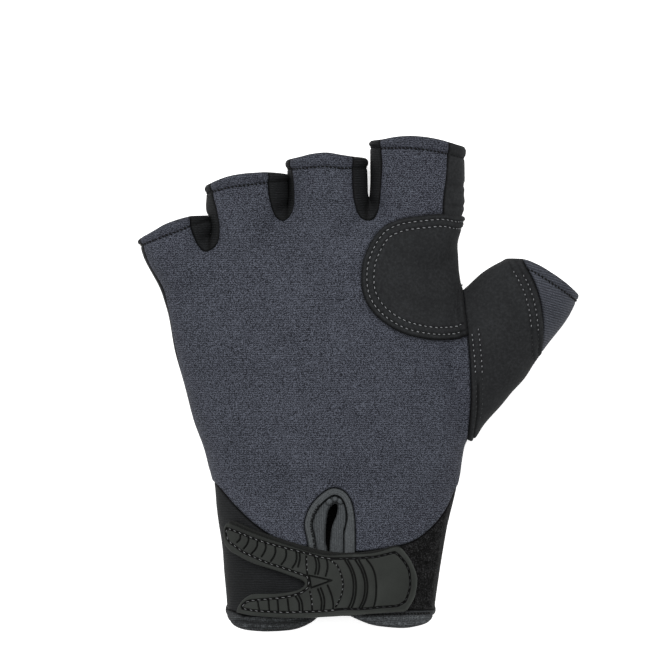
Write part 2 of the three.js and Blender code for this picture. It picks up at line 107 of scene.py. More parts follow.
fingerSections = {  # the last row is at the mouth
    "pinky": sectionTable(
        (-52.6, 27, 8.0, 6, 1.6, 19.0, 0, 2.2, 2.4),
        (-56.2, 33.6, 9.3, 10, 0.6, 22.4, 0, 2.2, 2.6),
        (-58.2, 38.8, 10.1, 13, 0.4, 22.6, 0.6, 2.3, 2.6),
        (-59.6, 43.5, 11.2, 16, 0.4, 21.9, 1.2, 2.3, 2.6),
        (-60.3, 47.8, 12.0, 18.2, 0.4, 21.5, 1.6, 2.3, 2.5),
        (-61.2, 51.4, 12.0, 20, 0.4, 21.2, 2.0, 2.3, 2.5),
    ),
    "ring": sectionTable(
        (-35.4, 32, 11.2, 2, 1.0, 22.6, 0, 2.2, 2.4),
        (-36.0, 46, 12.2, 2, 0.6, 24.8, 0, 2.3, 2.6),
        (-36.4, 55, 12.5, 2, 0.4, 23.8, 0.8, 2.3, 2.6),
        (-37.1, 59, 13.5, 3, 0.4, 23.0, 1.6, 2.3, 2.6),
        (-37.7, 63.2, 14.1, 4, 0.4, 22.6, 2.2, 2.3, 2.6),
        (-37.5, 66.9, 14.1, 5.0, 0.4, 22.2, 2.8, 2.3, 2.5),
    ),
    "middle": sectionTable(
        (-9.9, 33, 12.0, 0, 1.0, 23, 0, 2.2, 2.4),
        (-9.9, 48, 13.0, 0, 0.6, 25.2, 0, 2.3, 2.6),
        (-10.0, 58, 13.3, 0, 0.4, 24.4, 1.0, 2.3, 2.6),
        (-9.9, 65, 13.2, 0, 0.4, 23.4, 2.2, 2.3, 2.6),
        (-10.4, 73.7, 13.4, 0, 0.4, 22.6, 2.6, 2.3, 2.5),
    ),
    "index": sectionTable(
        (16.8, 31, 11.6, 0, 1.0, 21.0, 0, 2.2, 2.4),
        (18.2, 48, 13.9, -1, 0.6, 24.6, 0, 2.3, 2.6),
        (19.7, 57.5, 15.1, -2, 0.4, 24.2, 1.2, 2.3, 2.6),
        (20.3, 63, 15.7, -2.5, 0.4, 24.0, 1.8, 2.3, 2.6),
        (20.3, 70, 15.7, -3.5, 0.4, 23.3, 2.8, 2.3, 2.6),
        (20.2, 77.9, 15.8, -4.5, 0.4, 22.4, 3.9, 2.3, 2.5),
    ),
    "thumb": sectionTable(
        (35.1, -17.3, 3.9, -33, 8, 15.5, 0, 2.2, 2.2),
        (35.1, -12.7, 6.1, -33, 4, 19.5, 0, 2.2, 2.3),
        (36.6, -5.6, 9.3, -34, 1.6, 22.6, 0, 2.2, 2.4),
        (39.8, 3.3, 12.5, -35, 0.8, 24.8, 0, 2.2, 2.5),
        (43.2, 11.8, 15.6, -35, 0.5, 25.8, 0, 2.2, 2.6),
        (47.3, 20.1, 16.6, -35, 0.4, 26.0, 0, 2.3, 2.6),
        (52.6, 26.1, 16.2, -35, 0.4, 25.6, 0.5, 2.3, 2.6),
        (57.4, 30.7, 15.0, -34, 0.4, 24.9, 1.0, 2.3, 2.6),
        (61.9, 35.6, 12.9, -31, 0.4, 24.2, 1.9, 2.3, 2.5),
    ),
}

mouthLines = {  # in plan, from left to right
    "pinky": [(-79, 44), (-70.5, 49.2), (-65.2, 52), (-59.9, 54.1), (-55.9, 55.3), (-53.3, 55.7),
              (-44, 55.8)],
    "ring": [(-58, 62.4), (-48.3, 66.7), (-43.4, 68.4), (-38.4, 69.3), (-33.5, 69.7), (-28.5, 69.8),
             (-18, 69)],
    "middle": [(-30, 72.8), (-22.6, 74.3), (-18.6, 75.2), (-15.3, 75.9), (-10.4, 76.3), (-5.4, 75.6),
               (0, 74.9), (7, 74.2)],
    "index": [(-5, 79.5), (4.5, 80.4), (7.8, 80.8), (12.7, 81.6), (17.7, 81.8), (22.6, 81.4), (27.6, 80.5),
              (32.5, 79.2), (42, 76.6)],
    "thumb": [(42, 39.6), (47, 41.2), (50, 41.8), (52.5, 41.8), (55.3, 41.3), (60, 39.1), (64.8, 36.1),
              (68.1, 33.8), (71.4, 31.2), (77, 26.2)],
}
hemWidths = table("left middle right", [  # from each mouth to the hem's stitches, in the same order
    (2.3, 3.6, 1.9), (2.6, 3.8, 2.2), (3.0, 4.5, 3.0), (2.2, 4.1, 3.8), (2.4, 2.8, 2.4),
])
# Slots between the fingers, each with the y where it starts, its gap, the side that moves and how far the
# fingers press together. The fingers are spread while the skin is joined, then closed again. Above the end of
# the shorter finger a slot's line leans out, round the corner of the longer one's hem.
slots = {
    "pinky_ring": {
        "start": 46.5, "gap": 0.9, "opens": -1, "press": 1.4,
        "line": table("y x", [(48, -49.0), (55, -49.5), (58, -51), (60.5, -52.1)]),
    },
    "ring_middle": {
        "start": 56, "gap": 0.9, "opens": -1, "press": 1.2,
        "line": table("y x", [(56, -23.5), (69, -23.8), (71.5, -24.9)]),
    },
    "middle_index": {
        "start": 57, "gap": 1.4, "opens": 1, "press": 0.6,
        "line": table("y x", [(57, 3.9)]),
    },
}
slotsBeside = {"pinky": ("pinky_ring", "ring_middle"), "ring": ("ring_middle",), "index": ("middle_index",)}
webSections = sectionTable(  # fills the foot of the widest slot, where it is spread
    (4.4, 50, 3.5, 0, 3, 17, 0, 2.2, 2.2),
    (5.0, 56, 3.5, 0, 3, 16, 0, 2.2, 2.2),
    (5.4, 60, 3.4, 0, 4, 14, 0, 2.2, 2.2),
    (5.4, 61.2, 2.8, 0, 6, 12, 0, 2.2, 2.2),
)


# A smooth curve through points in plan, closely spaced
def smoothLine(points, step=0.7):
    points = np.array(points, float)
    padded = np.vstack([2 * points[0] - points[1], points, 2 * points[-1] - points[-2]])
    pieces = []
    for a, b, c, d in zip(padded, padded[1:], padded[2:], padded[3:]):
        count = max(1, round(float(np.linalg.norm(c - b)) / step))
        t = (np.arange(count) / count)[:, None]
        pieces.append(0.5 * (2 * b + (c - a) * t + (2 * a - 5 * b + 4 * c - d) * t**2
                             + (3 * b - a - 3 * c + d) * t**3))
    return np.vstack([*pieces, points[-1:]])


# Several smooth curves that meet in corners
def corneredLine(*curves):
    return np.vstack([smoothLine(curve) for curve in curves])


# Distance in plan from the nearest of some lines
def lineDistance(points, lines):
    best = np.full(len(points), 9.0)
    for line in lines:
        line = smoothLine(line, 0.5) if len(line) > 2 else np.array(line, float)
        near = np.flatnonzero(((points > line.min(0) - 3) & (points < line.max(0) + 3)).all(1))
        if not len(near):
            continue
        starts, span = line[:-1], np.diff(line, axis=0)
        off = points[near][:, None, :] - starts[None]
        share = np.clip((off * span).sum(2) / np.maximum((span**2).sum(1), 1e-9), 0, 1)
        away = np.sqrt(((off - share[..., None] * span)**2).sum(2)).min(1)
        best[near] = np.minimum(best[near], away)
    return best


# Seams in plan. Each is closed into a region by corners that lie clear of the glove.
clear = 90
archRegion = np.vstack([smoothLine([
    (-54, -26), (-47.4, -32.4), (-40.6, -40.2), (-33, -47.2), (-24, -52.2), (-6, -55.6),
    (14.2, -53.4), (23.4, -48.3), (29, -41.2), (32.7, -33.2), (38, -27),
]), [(clear, -24), (clear, clear), (-clear, clear), (-clear, -14)]])
thumbRegion = np.vstack([smoothLine([
    (34, 31.2), (34.7, 27.6), (35.2, 23), (36, 16), (36.8, 6), (37.2, -4), (37, -11), (36.2, -19.5),
]), [(48, -26), (clear, -26), (clear, 70), (42, 60)]])
thumbOuterRegion = np.vstack([smoothLine([
    (51.3, 46), (53.9, 41.1), (57.9, 33.8), (60.2, 27), (61.1, 20), (61, 13.7), (60.6, 11), (60.6, 4),
]), [(clear, 4), (clear, 46)]])
indexSideRegion = np.vstack([smoothLine([
    (30.3, 84), (29.4, 69.1), (28.4, 59.6), (28.6, 52), (30.4, 42), (33.4, 33), (36.5, 29),
]), [(44, 40), (44, 84)]])
gussetRegions = {
    "pinky_ring": smoothLine([
        (-55.6, 62), (-55.2, 53.6), (-54.8, 51), (-53.8, 48.3), (-52.5, 45.7), (-50.6, 43.9), (-48.2, 44.7),
        (-46.3, 47.4), (-46, 52.3), (-46.9, 57.3), (-47.9, 60.6), (-48.5, 63.9), (-48.9, 67), (-49.2, 73),
    ]),
    "ring_middle": smoothLine([
        (-29.4, 76), (-29.3, 64), (-28.4, 58.9), (-27.1, 55.6), (-25.1, 54), (-23.1, 54.9), (-21.8, 57.6),
        (-21.4, 62.2), (-21.6, 68.1), (-22.3, 72.1), (-22.5, 80),
    ]),
    "middle_index": smoothLine([
        (-1.8, 80), (-1.5, 65.5), (-0.7, 58.9), (0.7, 55.3), (2.8, 54.1), (5, 54.6), (6.3, 57.6), (6.9, 62.2),
        (7.6, 72), (7.3, 77), (7.2, 86),
    ]),
}
patchRegion = smoothLine([
    (48, 58), (34, 55.4), (28.2, 56), (22.8, 55.6), (13.2, 54), (6.3, 49.6), (2, 41.7), (1, 34),
    (2.3, 27.5), (6.6, 21.6), (14.2, 16.7), (23.8, 14.4), (32.5, 14.6), (36, 15.6), (46, 18),
])
slitRegion = smoothLine([
    (-13.2, -90), (-14.4, -70), (-16.4, -53.6), (-17.6, -46), (-15.4, -40), (-11, -35.6), (-7.4, -34.4),
    (-3.6, -36.4), (-1.4, -42), (-0.9, -53.6), (-1.4, -70), (-2, -90),
])
slotRegion = corneredLine([
    (-7.4, -39.2), (-8.8, -40.2), (-9.8, -41.9), (-10.2, -44.3), (-10.5, -46.6), (-10.6, -52.2),
    (-10.1, -54.9), (-10.2, -60), (-10.6, -90),
], [
    (-9.2, -90), (-9.7, -60), (-9.6, -54.9), (-9.4, -52.2), (-9.1, -49.7), (-8.8, -47.4), (-8.1, -45.4),
    (-7.2, -43.3), (-6.8, -41.2), (-6.9, -39.6),
])
cuffEndRegion = np.vstack([corneredLine([
    (-90, -76.2), (-43.4, -76.4),
], [
    (-42.8, -78), (-41.4, -79.8), (-38.5, -81), (-34, -81.6), (-28.7, -81.7), (-21, -81), (-15.6, -78.8),
    (-12.2, -76),
], [
    (-4.4, -75.6), (-0.4, -77.6), (4.6, -79.5), (10, -80.3), (15.8, -80.6), (20.8, -79.8), (23.4, -78.9),
    (24.4, -77.7),
], [
    (24.8, -76.4), (90, -76.2),
]), [(clear, 0), (-clear, 0)]])
strapRegion = corneredLine([
    (-41.9, -51), (-42, -48), (-41.9, -46), (-40.6, -45), (-33, -48.2), (-23.4, -51.6), (-11.2, -54.9),
    (-2, -55.6), (6.9, -54.5), (11.6, -53.2), (13.4, -53.6),
], [
    (14.6, -55.6), (16.8, -59.6), (17.9, -65), (17.2, -70), (15.2, -74),
], [
    (13.4, -74.7), (3.4, -75.4), (-9.2, -76.4), (-20, -76.9), (-31.7, -76.5), (-37.8, -75.2),
], [
    (-37.6, -73.1), (-36.3, -71.4), (-34.7, -70.1), (-32.8, -69.4), (-26.3, -69.3), (-21.1, -68.6),
    (-18.2, -67.4), (-17.5, -65.8), (-19.4, -64.3), (-26.7, -61.7), (-33.5, -59.3), (-39.5, -55.7),
])
channelRegion = corneredLine([  # the stitch channel round the moulded face
    (-41.4, -49.4), (-41.5, -48.2), (-41.2, -47.5),
], [
    (-40.3, -47.9), (-36.5, -49.6), (-32.9, -51.2), (-28.5, -52.7), (-24.1, -54), (-16.9, -55.9),
    (-13.6, -56.9), (-10.1, -57.6), (-5.9, -57.7), (-1.7, -57.6), (1.7, -57.4), (5, -57.1), (8.5, -56.3),
    (11.2, -55.5),
], [
    (12.6, -56.6), (14.5, -59.1), (15.5, -61.4), (15.8, -64), (15.8, -66.8), (15.1, -69.5), (14.3, -71.6),
], [
    (12.1, -73), (6, -73.5), (0.9, -74), (-5.9, -74.1), (-11.2, -74.7), (-21.9, -75.1), (-27.1, -75),
    (-32.9, -74.6), (-36.5, -73.9),
], [
    (-36.6, -73.2), (-35.6, -72.1), (-34.3, -71.4), (-31.5, -71.1), (-26.3, -70.6), (-23, -70.1),
    (-19.1, -69.1), (-16.7, -67.6), (-16, -66.6), (-16, -64.8), (-16.4, -63.6), (-18.1, -62.9),
    (-22.2, -61.4), (-24.7, -60.5), (-28.8, -59.1), (-32.9, -57.2), (-36.5, -55.3), (-38.9, -53.3),
    (-40.3, -52.2), (-41.1, -50.8),
])
tabCurves = {  # the outline of the moulded face, from corner to corner
    "left": [
        (-41.7, -53.2), (-42.1, -50.4), (-42.1, -47.4), (-41.5, -46),
    ],
    "top": [
        (-40.6, -45.9), (-38.4, -46.9), (-34.8, -48.6), (-27.8, -51.4), (-16.7, -55.1), (-9.9, -56.5),
        (-4, -56.2), (2.5, -56), (6.9, -55.2), (10.8, -53.9), (12.4, -53.7),
    ],
    "right": [
        (13.7, -54.3), (16.1, -57.8), (17.8, -62.2), (18.1, -65.2), (17.2, -70.3), (14.9, -74.6),
    ],
    "foot": [
        (13.6, -75), (3.5, -75.7), (-5.4, -76.4), (-16.5, -77), (-24.1, -77), (-33, -76.4), (-38.3, -75.3),
    ],
    "notch": [
        (-37.7, -73.1), (-36.5, -71.2), (-34.8, -69.8), (-32.9, -69.1), (-26.3, -69), (-21.1, -68.3),
        (-18.4, -67.3), (-17.2, -65.8), (-17.8, -65.1), (-19.7, -64.2), (-26.8, -61.5), (-33.7, -59.1),
        (-39.8, -55.5),
    ],
}
tabRegion = corneredLine(*tabCurves.values())


# The skin: tubes for the hand, four fingers and thumb, joined and smoothed

# Values between the rows of a table, without overshoot
def valuesBetween(at, column, places):
    step = np.diff(at)
    slope = np.diff(column) / step
    product, total = slope[:-1] * slope[1:], slope[:-1] + slope[1:]
    inner = np.where(product > 0, 2 * product / np.where(total == 0, 1, total), 0)
    slopes = np.concatenate([slope[:1], inner, slope[-1:]])
    row = np.clip(np.searchsorted(at, places, side="right") - 1, 0, len(step) - 1)
    t = (places - at[row]) / step[row]
    start, end = column[row], column[row + 1]
    return ((2 * t**3 - 3 * t**2 + 1) * start + (t**3 - 2 * t**2 + t) * step[row] * slopes[row]
            + (3 * t**2 - 2 * t**3) * end + (t**3 - t**2) * step[row] * slopes[row + 1])


def closerSections(sections, step=1.2):
    change = sum(np.diff(sections[name])**2 for name in ("x", "y", "low", "high", "bow"))
    at = np.concatenate([[0], np.cumsum(np.sqrt(change))])
    places = np.linspace(0, at[-1], int(at[-1] / step) + 2)
    return {name: valuesBetween(at, column, places) for name, column in sections.items()}


def movedOn(sections, distance):  # one more row, straight on from the last
    last = {name: column[-1] for name, column in sections.items()}
    tilt = math.radians(last["tilt"])
    last["x"] -= distance * math.sin(tilt)
    last["y"] += distance * math.cos(tilt)
    return {name: np.append(column, last[name]) for name, column in sections.items()}


# Rings of a tube: each is a superellipse, boxier below, and pressed flat where it would pass the floor
def tubeRings(sections, count):
    column = {name: values[:, None] for name, values in sections.items()}
    turn = 2 * np.pi * np.arange(count)[None, :] / count
    cos, sin = np.cos(turn), np.sin(turn)
    power = 2 / np.where(sin < 0, column["under"], column["over"])
    across = np.sign(cos) * np.abs(cos)**power
    up = np.sign(sin) * np.abs(sin)**power
    middle = column["low"] + (column["high"] - column["low"]) * glove["widestAt"]
    rise = np.where(sin < 0, middle - column["low"], column["high"] - middle)
    along = column["bow"] * (1 - across**2)
    tilt = np.radians(column["tilt"])
    return np.stack([
        column["x"] + column["half"] * across * np.cos(tilt) - along * np.sin(tilt),
        column["y"] + column["half"] * across * np.sin(tilt) + along * np.cos(tilt),
        np.maximum(middle + rise * up, 0),
    ], axis=2)


def closedTube(rings):
    rows, count = rings.shape[:2]
    points = np.vstack([rings.reshape(-1, 3), rings[0].mean(0), rings[-1].mean(0)])
    i = np.arange(count)
    j = (i + 1) % count
    faces = []
    for r in range(rows - 1):
        a, b = r * count, (r + 1) * count
        faces += [np.stack([a + i, a + j, b + j], 1), np.stack([a + i, b + j, b + i], 1)]
    faces.append(np.stack([j, i, np.full(count, rows * count)], 1))
    last = (rows - 1) * count
    faces.append(np.stack([last + i, last + j, np.full(count, rows * count + 1)], 1))
    return points, np.vstack(faces)


def joined(meshes):
    points, faces, start = [], [], 0
    for somePoints, someFaces in meshes:
        points.append(somePoints)
        faces.append(someFaces + start)
        start += len(somePoints)
    return np.vstack(points), np.vstack(faces)


def bareMesh(name, points, faces):
    mesh = bpy.data.meshes.new(name)
    mesh.vertices.add(len(points))
    mesh.vertices.foreach_set("co", (points * mm).astype(np.float32).ravel())
    mesh.loops.add(faces.size)
    mesh.loops.foreach_set("vertex_index", faces.astype(np.int32).ravel())
    mesh.polygons.add(len(faces))
    mesh.polygons.foreach_set("loop_start", np.arange(0, faces.size, 3, dtype=np.int32))
    mesh.polygons.foreach_set("use_smooth", np.ones(len(faces), bool))
    mesh.update(calc_edges=True)
    return mesh


def remeshed(points, faces, voxel):
    mesh = bareMesh("skinTubes", points, faces)
    tubes = bpy.data.objects.new("skinTubes", mesh)
    bpy.context.scene.collection.objects.link(tubes)
    remesh = tubes.modifiers.new("join", "REMESH")
    remesh.mode = "VOXEL"
    remesh.voxel_size = voxel * mm
    made = tubes.evaluated_get(bpy.context.evaluated_depsgraph_get()).to_mesh()
    made.calc_loop_triangles()
    newPoints = np.zeros(len(made.vertices) * 3, np.float32)
    made.vertices.foreach_get("co", newPoints)
    newFaces = np.zeros(len(made.loop_triangles) * 3, np.int32)
    made.loop_triangles.foreach_get("vertices", newFaces)
    bpy.data.objects.remove(tubes)
    bpy.data.meshes.remove(mesh)
    return newPoints.reshape(-1, 3).astype(float) / mm, newFaces.reshape(-1, 3).astype(np.int64)


def faceEdges(faces):  # the three sides of each face, from corner to corner
    return np.vstack([faces[:, [0, 1]], faces[:, [1, 2]], faces[:, [2, 0]]])


def meshEdges(faces):
    ends, total = np.sort(faceEdges(faces), axis=1), faces.max() + 1
    key = np.unique(ends[:, 0] * total + ends[:, 1])
    return key // total, key % total


# Each value moved halfway to the mean of its neighbours, some times over
def smoothed(values, faces, passes):
    a, b = meshEdges(faces)
    count = len(values)
    uses = np.maximum(np.bincount(a, minlength=count) + np.bincount(b, minlength=count), 1)
    for _ in range(passes):
        columns = []
        for column in values.T:
            total = np.bincount(a, column[b], count) + np.bincount(b, column[a], count)
            columns.append(column + 0.5 * (total / uses - column))
        values = np.stack(columns, 1)
    return values


def vertexNormals(points, faces):
    a, b, c = (points[faces[:, k]] for k in range(3))
    normal = np.cross(b - a, c - a)
    total = np.stack([
        sum(np.bincount(faces[:, k], normal[:, axis], len(points)) for k in range(3)) for axis in range(3)
    ], 1)
    return total / np.maximum(np.linalg.norm(total, axis=1, keepdims=True), 1e-12)


def smoothStep(values, start, end):  # from 0 to 1
    t = np.clip((values - start) / (end - start), 0, 1)
    return t * t * (3 - 2 * t)


def fall(values, start, end):  # from 1 to 0
    return 1 - smoothStep(values, start, end)


def slotOpening(name, y):
    start = slots[name]["start"]
    return glove["spread"] * smoothStep(y, start, start + glove["spreadOver"])


def spreadRings(finger, rings):
    for name in slotsBeside.get(finger, ()):
        rings[..., 0] += slots[name]["opens"] * slotOpening(name, rings[..., 1])
    return rings


# Closes the spread fingers, and says for each point how far it is past the middle of each slot
def closedFingers(points):
    x, y = points[:, 0].copy(), points[:, 1]
    beyond = {}
    for name in ("middle_index", "ring_middle", "pinky_ring"):
        slot, opening = slots[name], slotOpening(name, y)
        line = np.interp(y, slot["line"]["y"], slot["line"]["x"])
        past = slot["opens"] * (x - line) - opening / 2
        closing = opening * (1 + slot["press"] / glove["spread"])
        x = x - slot["opens"] * closing * np.clip(past / (slot["gap"] + opening) + 0.5, 0, 1)
        beyond[name] = past
    return np.stack([x, y, points[:, 2]], 1), beyond


def makeSkin():
    tubes = [closedTube(tubeRings(closerSections(handSections), glove["handSides"]))]
    for finger, sections in fingerSections.items():
        rings = tubeRings(movedOn(closerSections(sections), glove["pastMouth"]), glove["fingerSides"])
        tubes.append(closedTube(spreadRings(finger, rings)))
    tubes.append(closedTube(tubeRings(closerSections(webSections, 0.8), glove["webSides"])))
    points, faces = remeshed(*joined(tubes), glove["voxel"])
    points, beyond = closedFingers(smoothed(points, faces, glove["smoothing"]))
    points[:, 2] = np.maximum(points[:, 2], 0.02)
    normals = smoothed(vertexNormals(points, faces), faces, 4)
    normals /= np.linalg.norm(normals, axis=1, keepdims=True)
    return {"points": points, "faces": faces, "normals": normals}, beyond


skin, beyondSlot = makeSkin()
print("skin:", len(skin["points"]), "points,", len(skin["faces"]), "faces")


# Distances over the skin from each seam, positive inside its region

skinX, skinY, skinZ = skin["points"].T
steepest = 0.09  # the least squared share of its own length that a slope shows in plan
batch = 8000  # points measured at a time


# Distance in plan from an outline, and how much longer it is over the sloping skin
def regionDistance(outline, chosen=slice(None)):
    points, normals = skin["points"][chosen, :2], skin["normals"][chosen, :2]
    span = np.roll(outline, -1, axis=0) - outline
    longest = np.maximum((span**2).sum(1), 1e-12)
    rise = np.where(span[:, 1] == 0, 1, span[:, 1])
    result = np.zeros(len(points))
    for first in range(0, len(points), batch):
        some, normal = points[first:first + batch], normals[first:first + batch]
        off = some[:, None] - outline
        share = np.clip((off * span).sum(2) / longest, 0, 1)
        away = off - share[..., None] * span
        square = (away**2).sum(2)
        rows, nearest = np.arange(len(some)), square.argmin(1)
        distance = np.sqrt(square[rows, nearest])
        direction = away[rows, nearest] / np.maximum(distance, 1e-9)[:, None]
        slope = np.sqrt(np.clip(1 - (direction * normal).sum(1)**2, steepest, 1))
        x, y = some[:, :1], some[:, 1:]
        crosses = (outline[:, 1] > y) != (outline[:, 1] + span[:, 1] > y)
        at = outline[:, 0] + (y - outline[:, 1]) * span[:, 0] / rise
        inside = (crosses & (x < at)).sum(1) % 2 == 1
        result[first:first + batch] = np.where(inside, 1, -1) * distance / slope
    return result


def heightDistance(height):
    return (skinZ - height) / np.sqrt(np.clip(1 - skin["normals"][:, 2]**2, steepest, 1))


def least(*fields):
    return np.minimum.reduce(fields)


def most(*fields):
    return np.maximum.reduce(fields)


mouthZones = {"thumbX": 42, "pinkyY": 36, "fingersY": 52}  # from where a point counts as on a finger


# Distance in from the mouth of whichever finger a point is on, and that finger's hem width
def mouthDistance():
    pastPinky, pastRing, pastIndex = (
        beyondSlot[name] > 0 for name in ("pinky_ring", "ring_middle", "middle_index"))
    onFinger = skinY > mouthZones["fingersY"]
    onThumb = (skinX > mouthZones["thumbX"]) & (skinY < mouthZones["fingersY"])
    onPinky = pastPinky & (skinY > mouthZones["pinkyY"])
    onIndex = ~onThumb & pastIndex & onFinger
    zones = {
        "pinky": onPinky, "ring": ~onPinky & pastRing & onFinger,
        "middle": ~onThumb & ~onIndex & ~pastRing & onFinger, "index": onIndex, "thumb": onThumb,
    }
    distance, width = np.full(len(skinX), 99.0), np.full(len(skinX), 4.0)
    for row, (name, zone) in enumerate(zones.items()):
        end = {column: values[-1] for column, values in fingerSections[name].items()}
        tilt = math.radians(end["tilt"])
        aside, ahead = skinX[zone] - end["x"], skinY[zone] - end["y"]
        across = (aside * math.cos(tilt) + ahead * math.sin(tilt)) / end["half"]
        wide = {column: values[row] for column, values in hemWidths.items()}
        atEdge = np.where(across < 0, wide["left"], wide["right"])
        width[zone] = wide["middle"] + (atEdge - wide["middle"]) * np.clip(across, -1, 1)**2
        line = smoothLine(mouthLines[name])
        distance[zone] = regionDistance(np.vstack([line, [(200, -200), (-200, -200)]]), zone)
    return distance, width


thumbLap = {"width": 1.2, "low": 2, "high": 7}  # the thumb's cloth goes on a little under the hand
cuff = {
    "palmEnd": -76.9,  # y of the cuff's end, and of its hem on both sides
    "hemBack": -74.7,
    "hemPalm": -72.0,
    "leftDrop": 1.9,  # how much wider the hem is along its left lobe
    "lobeStart": (-43.5, -37),  # x
    "lobeEnd": (-22, -16),
    "blend": (11, 18),  # heights between which the palm side goes over into the back
    "loopStart": -1.0,  # x
}
side = heightDistance(glove["sideSeam"])
arch = regionDistance(archRegion)
thumb = regionDistance(thumbRegion) + thumbLap["width"] * fall(skinZ, thumbLap["low"], thumbLap["high"])
thumbOuter = least(regionDistance(thumbOuterRegion), heightDistance(glove["thumbSeam"]))
indexSide = regionDistance(indexSideRegion)
gussets = {
    name: least(regionDistance(region), heightDistance(glove["gussetSeam"]))
    for name, region in gussetRegions.items()
}
anyGusset = most(*gussets.values())
patch = regionDistance(patchRegion)
slot = regionDistance(slotRegion)
slit, strap, tab = (least(regionDistance(region), side) for region in (slitRegion, strapRegion, tabRegion))
tabChannel = regionDistance(channelRegion)
mouth, hemWidth = mouthDistance()
onBack = smoothStep(skinZ, *cuff["blend"])
palmLine = skinY - glove["palmCuffSeam"]
hand = most(least(arch, side), least(palmLine, -side))
leftLobe = least(smoothStep(skinX, *cuff["lobeStart"]), fall(skinX, *cuff["lobeEnd"]))
hemLine = skinY - (cuff["hemPalm"] + (cuff["hemBack"] - cuff["hemPalm"]) * onBack)
hemLine += onBack * cuff["leftDrop"] * leftLobe
cuffEnd = regionDistance(cuffEndRegion) * onBack + (skinY - cuff["palmEnd"]) * (1 - onBack)
loopSide = least(skinX - cuff["loopStart"], side)
print("seam distances measured")


# Cutting pieces out of the skin


def keptFaces(mesh, which):
    faces = mesh["faces"][which]
    used = np.unique(faces)
    number = np.zeros(len(mesh["points"]), np.int64)
    number[used] = np.arange(len(used))
    return {name: number[faces] if name == "faces" else values[used] for name, values in mesh.items()}


def withPoints(mesh, a, b, share):  # adds a point on each edge from a to b
    made = {}
    for name, values in mesh.items():
        if name != "faces":
            part = share[:, None] if values.ndim == 2 else share
            made[name] = np.concatenate([values, values[a] + (values[b] - values[a]) * part])
    return made


# New vertices and edges along the line where a field has a level
def splitAt(mesh, name, level):
    values, faces = mesh[name], mesh["faces"]
    above = (values > level)[faces]
    count = above.sum(1)
    mixed = (count == 1) | (count == 2)
    if not mixed.any():
        return mesh
    cut = faces[mixed]
    lone = np.where(count[mixed] == 1, above[mixed].argmax(1), (~above[mixed]).argmax(1))
    rows = np.arange(len(cut))
    a, b, c = (cut[rows, (lone + k) % 3] for k in range(3))
    ends = np.sort(np.vstack([np.stack([a, b], 1), np.stack([a, c], 1)]), axis=1)
    total = len(values)
    key, where = np.unique(ends[:, 0] * total + ends[:, 1], return_inverse=True)
    low, high = key // total, key % total
    share = (level - values[low]) / (values[high] - values[low])
    made = withPoints(mesh, low, high, share)
    made[name][total:] = level
    ab, ac = where[:len(cut)] + total, where[len(cut):] + total
    made["faces"] = np.vstack([
        faces[~mixed], np.stack([a, ab, ac], 1), np.stack([ab, b, c], 1), np.stack([ab, c, ac], 1),
    ])
    return made


def cutAbove(mesh, name, level):  # only the part where a field is above a level
    mesh = splitAt(mesh, name, level)
    middle = mesh[name][mesh["faces"]].sum(1)
    return keptFaces(mesh, middle > 3 * level + 1e-9)


# The chosen faces in four, and the faces beside them cut to fit
def refined(mesh, chosen=None):
    faces = mesh["faces"]
    total, count = len(mesh["points"]), len(faces)
    chosen = np.ones(count, bool) if chosen is None else chosen
    ends = np.sort(faceEdges(faces), axis=1)
    key, where = np.unique(ends[:, 0] * total + ends[:, 1], return_inverse=True)
    halved = np.zeros(len(key), bool)
    halved[where[np.tile(chosen, 3)]] = True
    number = np.cumsum(halved) - 1 + total
    made = withPoints(mesh, key[halved] // total, key[halved] % total, np.full(halved.sum(), 0.5))
    edges = where.reshape(3, count).T
    cuts = halved[edges]
    whole = faces[cuts.sum(1) == 0]
    parts = [whole]
    for amount in (1, 2, 3):
        some = cuts.sum(1) == amount
        corner, edge, cut = faces[some], edges[some], cuts[some]
        first = np.where(amount == 2, (~cut).argmax(1), cut.argmax(1))
        rows = np.arange(len(corner))
        a, b, c = (corner[rows, (first + k) % 3] for k in range(3))
        ab, bc, ca = (number[edge[rows, (first + k) % 3]] for k in range(3))
        if amount == 1:
            parts += [np.stack([a, ab, c], 1), np.stack([ab, b, c], 1)]
        elif amount == 2:
            parts += [np.stack([a, b, bc], 1), np.stack([a, bc, ca], 1), np.stack([ca, bc, c], 1)]
        else:
            parts += [np.stack([a, ab, ca], 1), np.stack([ab, b, bc], 1), np.stack([ca, bc, c], 1),
                      np.stack([ab, bc, ca], 1)]
    made["faces"] = np.vstack(parts)
    return made


# Cuts one piece: its region, lines of vertices at the levels of each field, and whole refinements
def cutPiece(fields, levels, refinements=0, nearby=1.5):
    inside = least(*[values for name, values in fields.items() if name in ("seam", "mouth", "end")])
    mesh = keptFaces({**skin, **fields}, (inside > -nearby)[skin["faces"]].any(1))
    for _ in range(refinements):
        mesh = refined(mesh)
    mesh = cutAbove(mesh, "seam", glove["seamGap"])
    for name in ("mouth", "end"):
        if name in fields:
            mesh = cutAbove(mesh, name, 0)
    for name, level in levels:
        mesh = splitAt(mesh, name, level)
    mesh["normals"] /= np.maximum(np.linalg.norm(mesh["normals"], axis=1, keepdims=True), 1e-9)
    return mesh


def rollLevels(name, radius, start=0.0):
    return [(name, start + radius * share) for share in (0.15, 0.45, 1.0)]


def seamLevels(radius):
    return rollLevels("seam", radius, glove["seamGap"])


def dipLevels(name, at, width):
    return [(name, at + width * share) for share in (-1.4, -0.5, 0, 0.5, 1.4)]


# Profiles across a seam or hem, as heights at a distance from it

def rolledEdge(distance, radius):
    t = np.clip(distance / radius, 0, 1)
    return radius * (np.sqrt(np.clip(1 - (1 - t)**2, 0, 1)) - 1)


def rolledSeam(mesh, radius):
    return rolledEdge(mesh["seam"] - glove["seamGap"], radius)


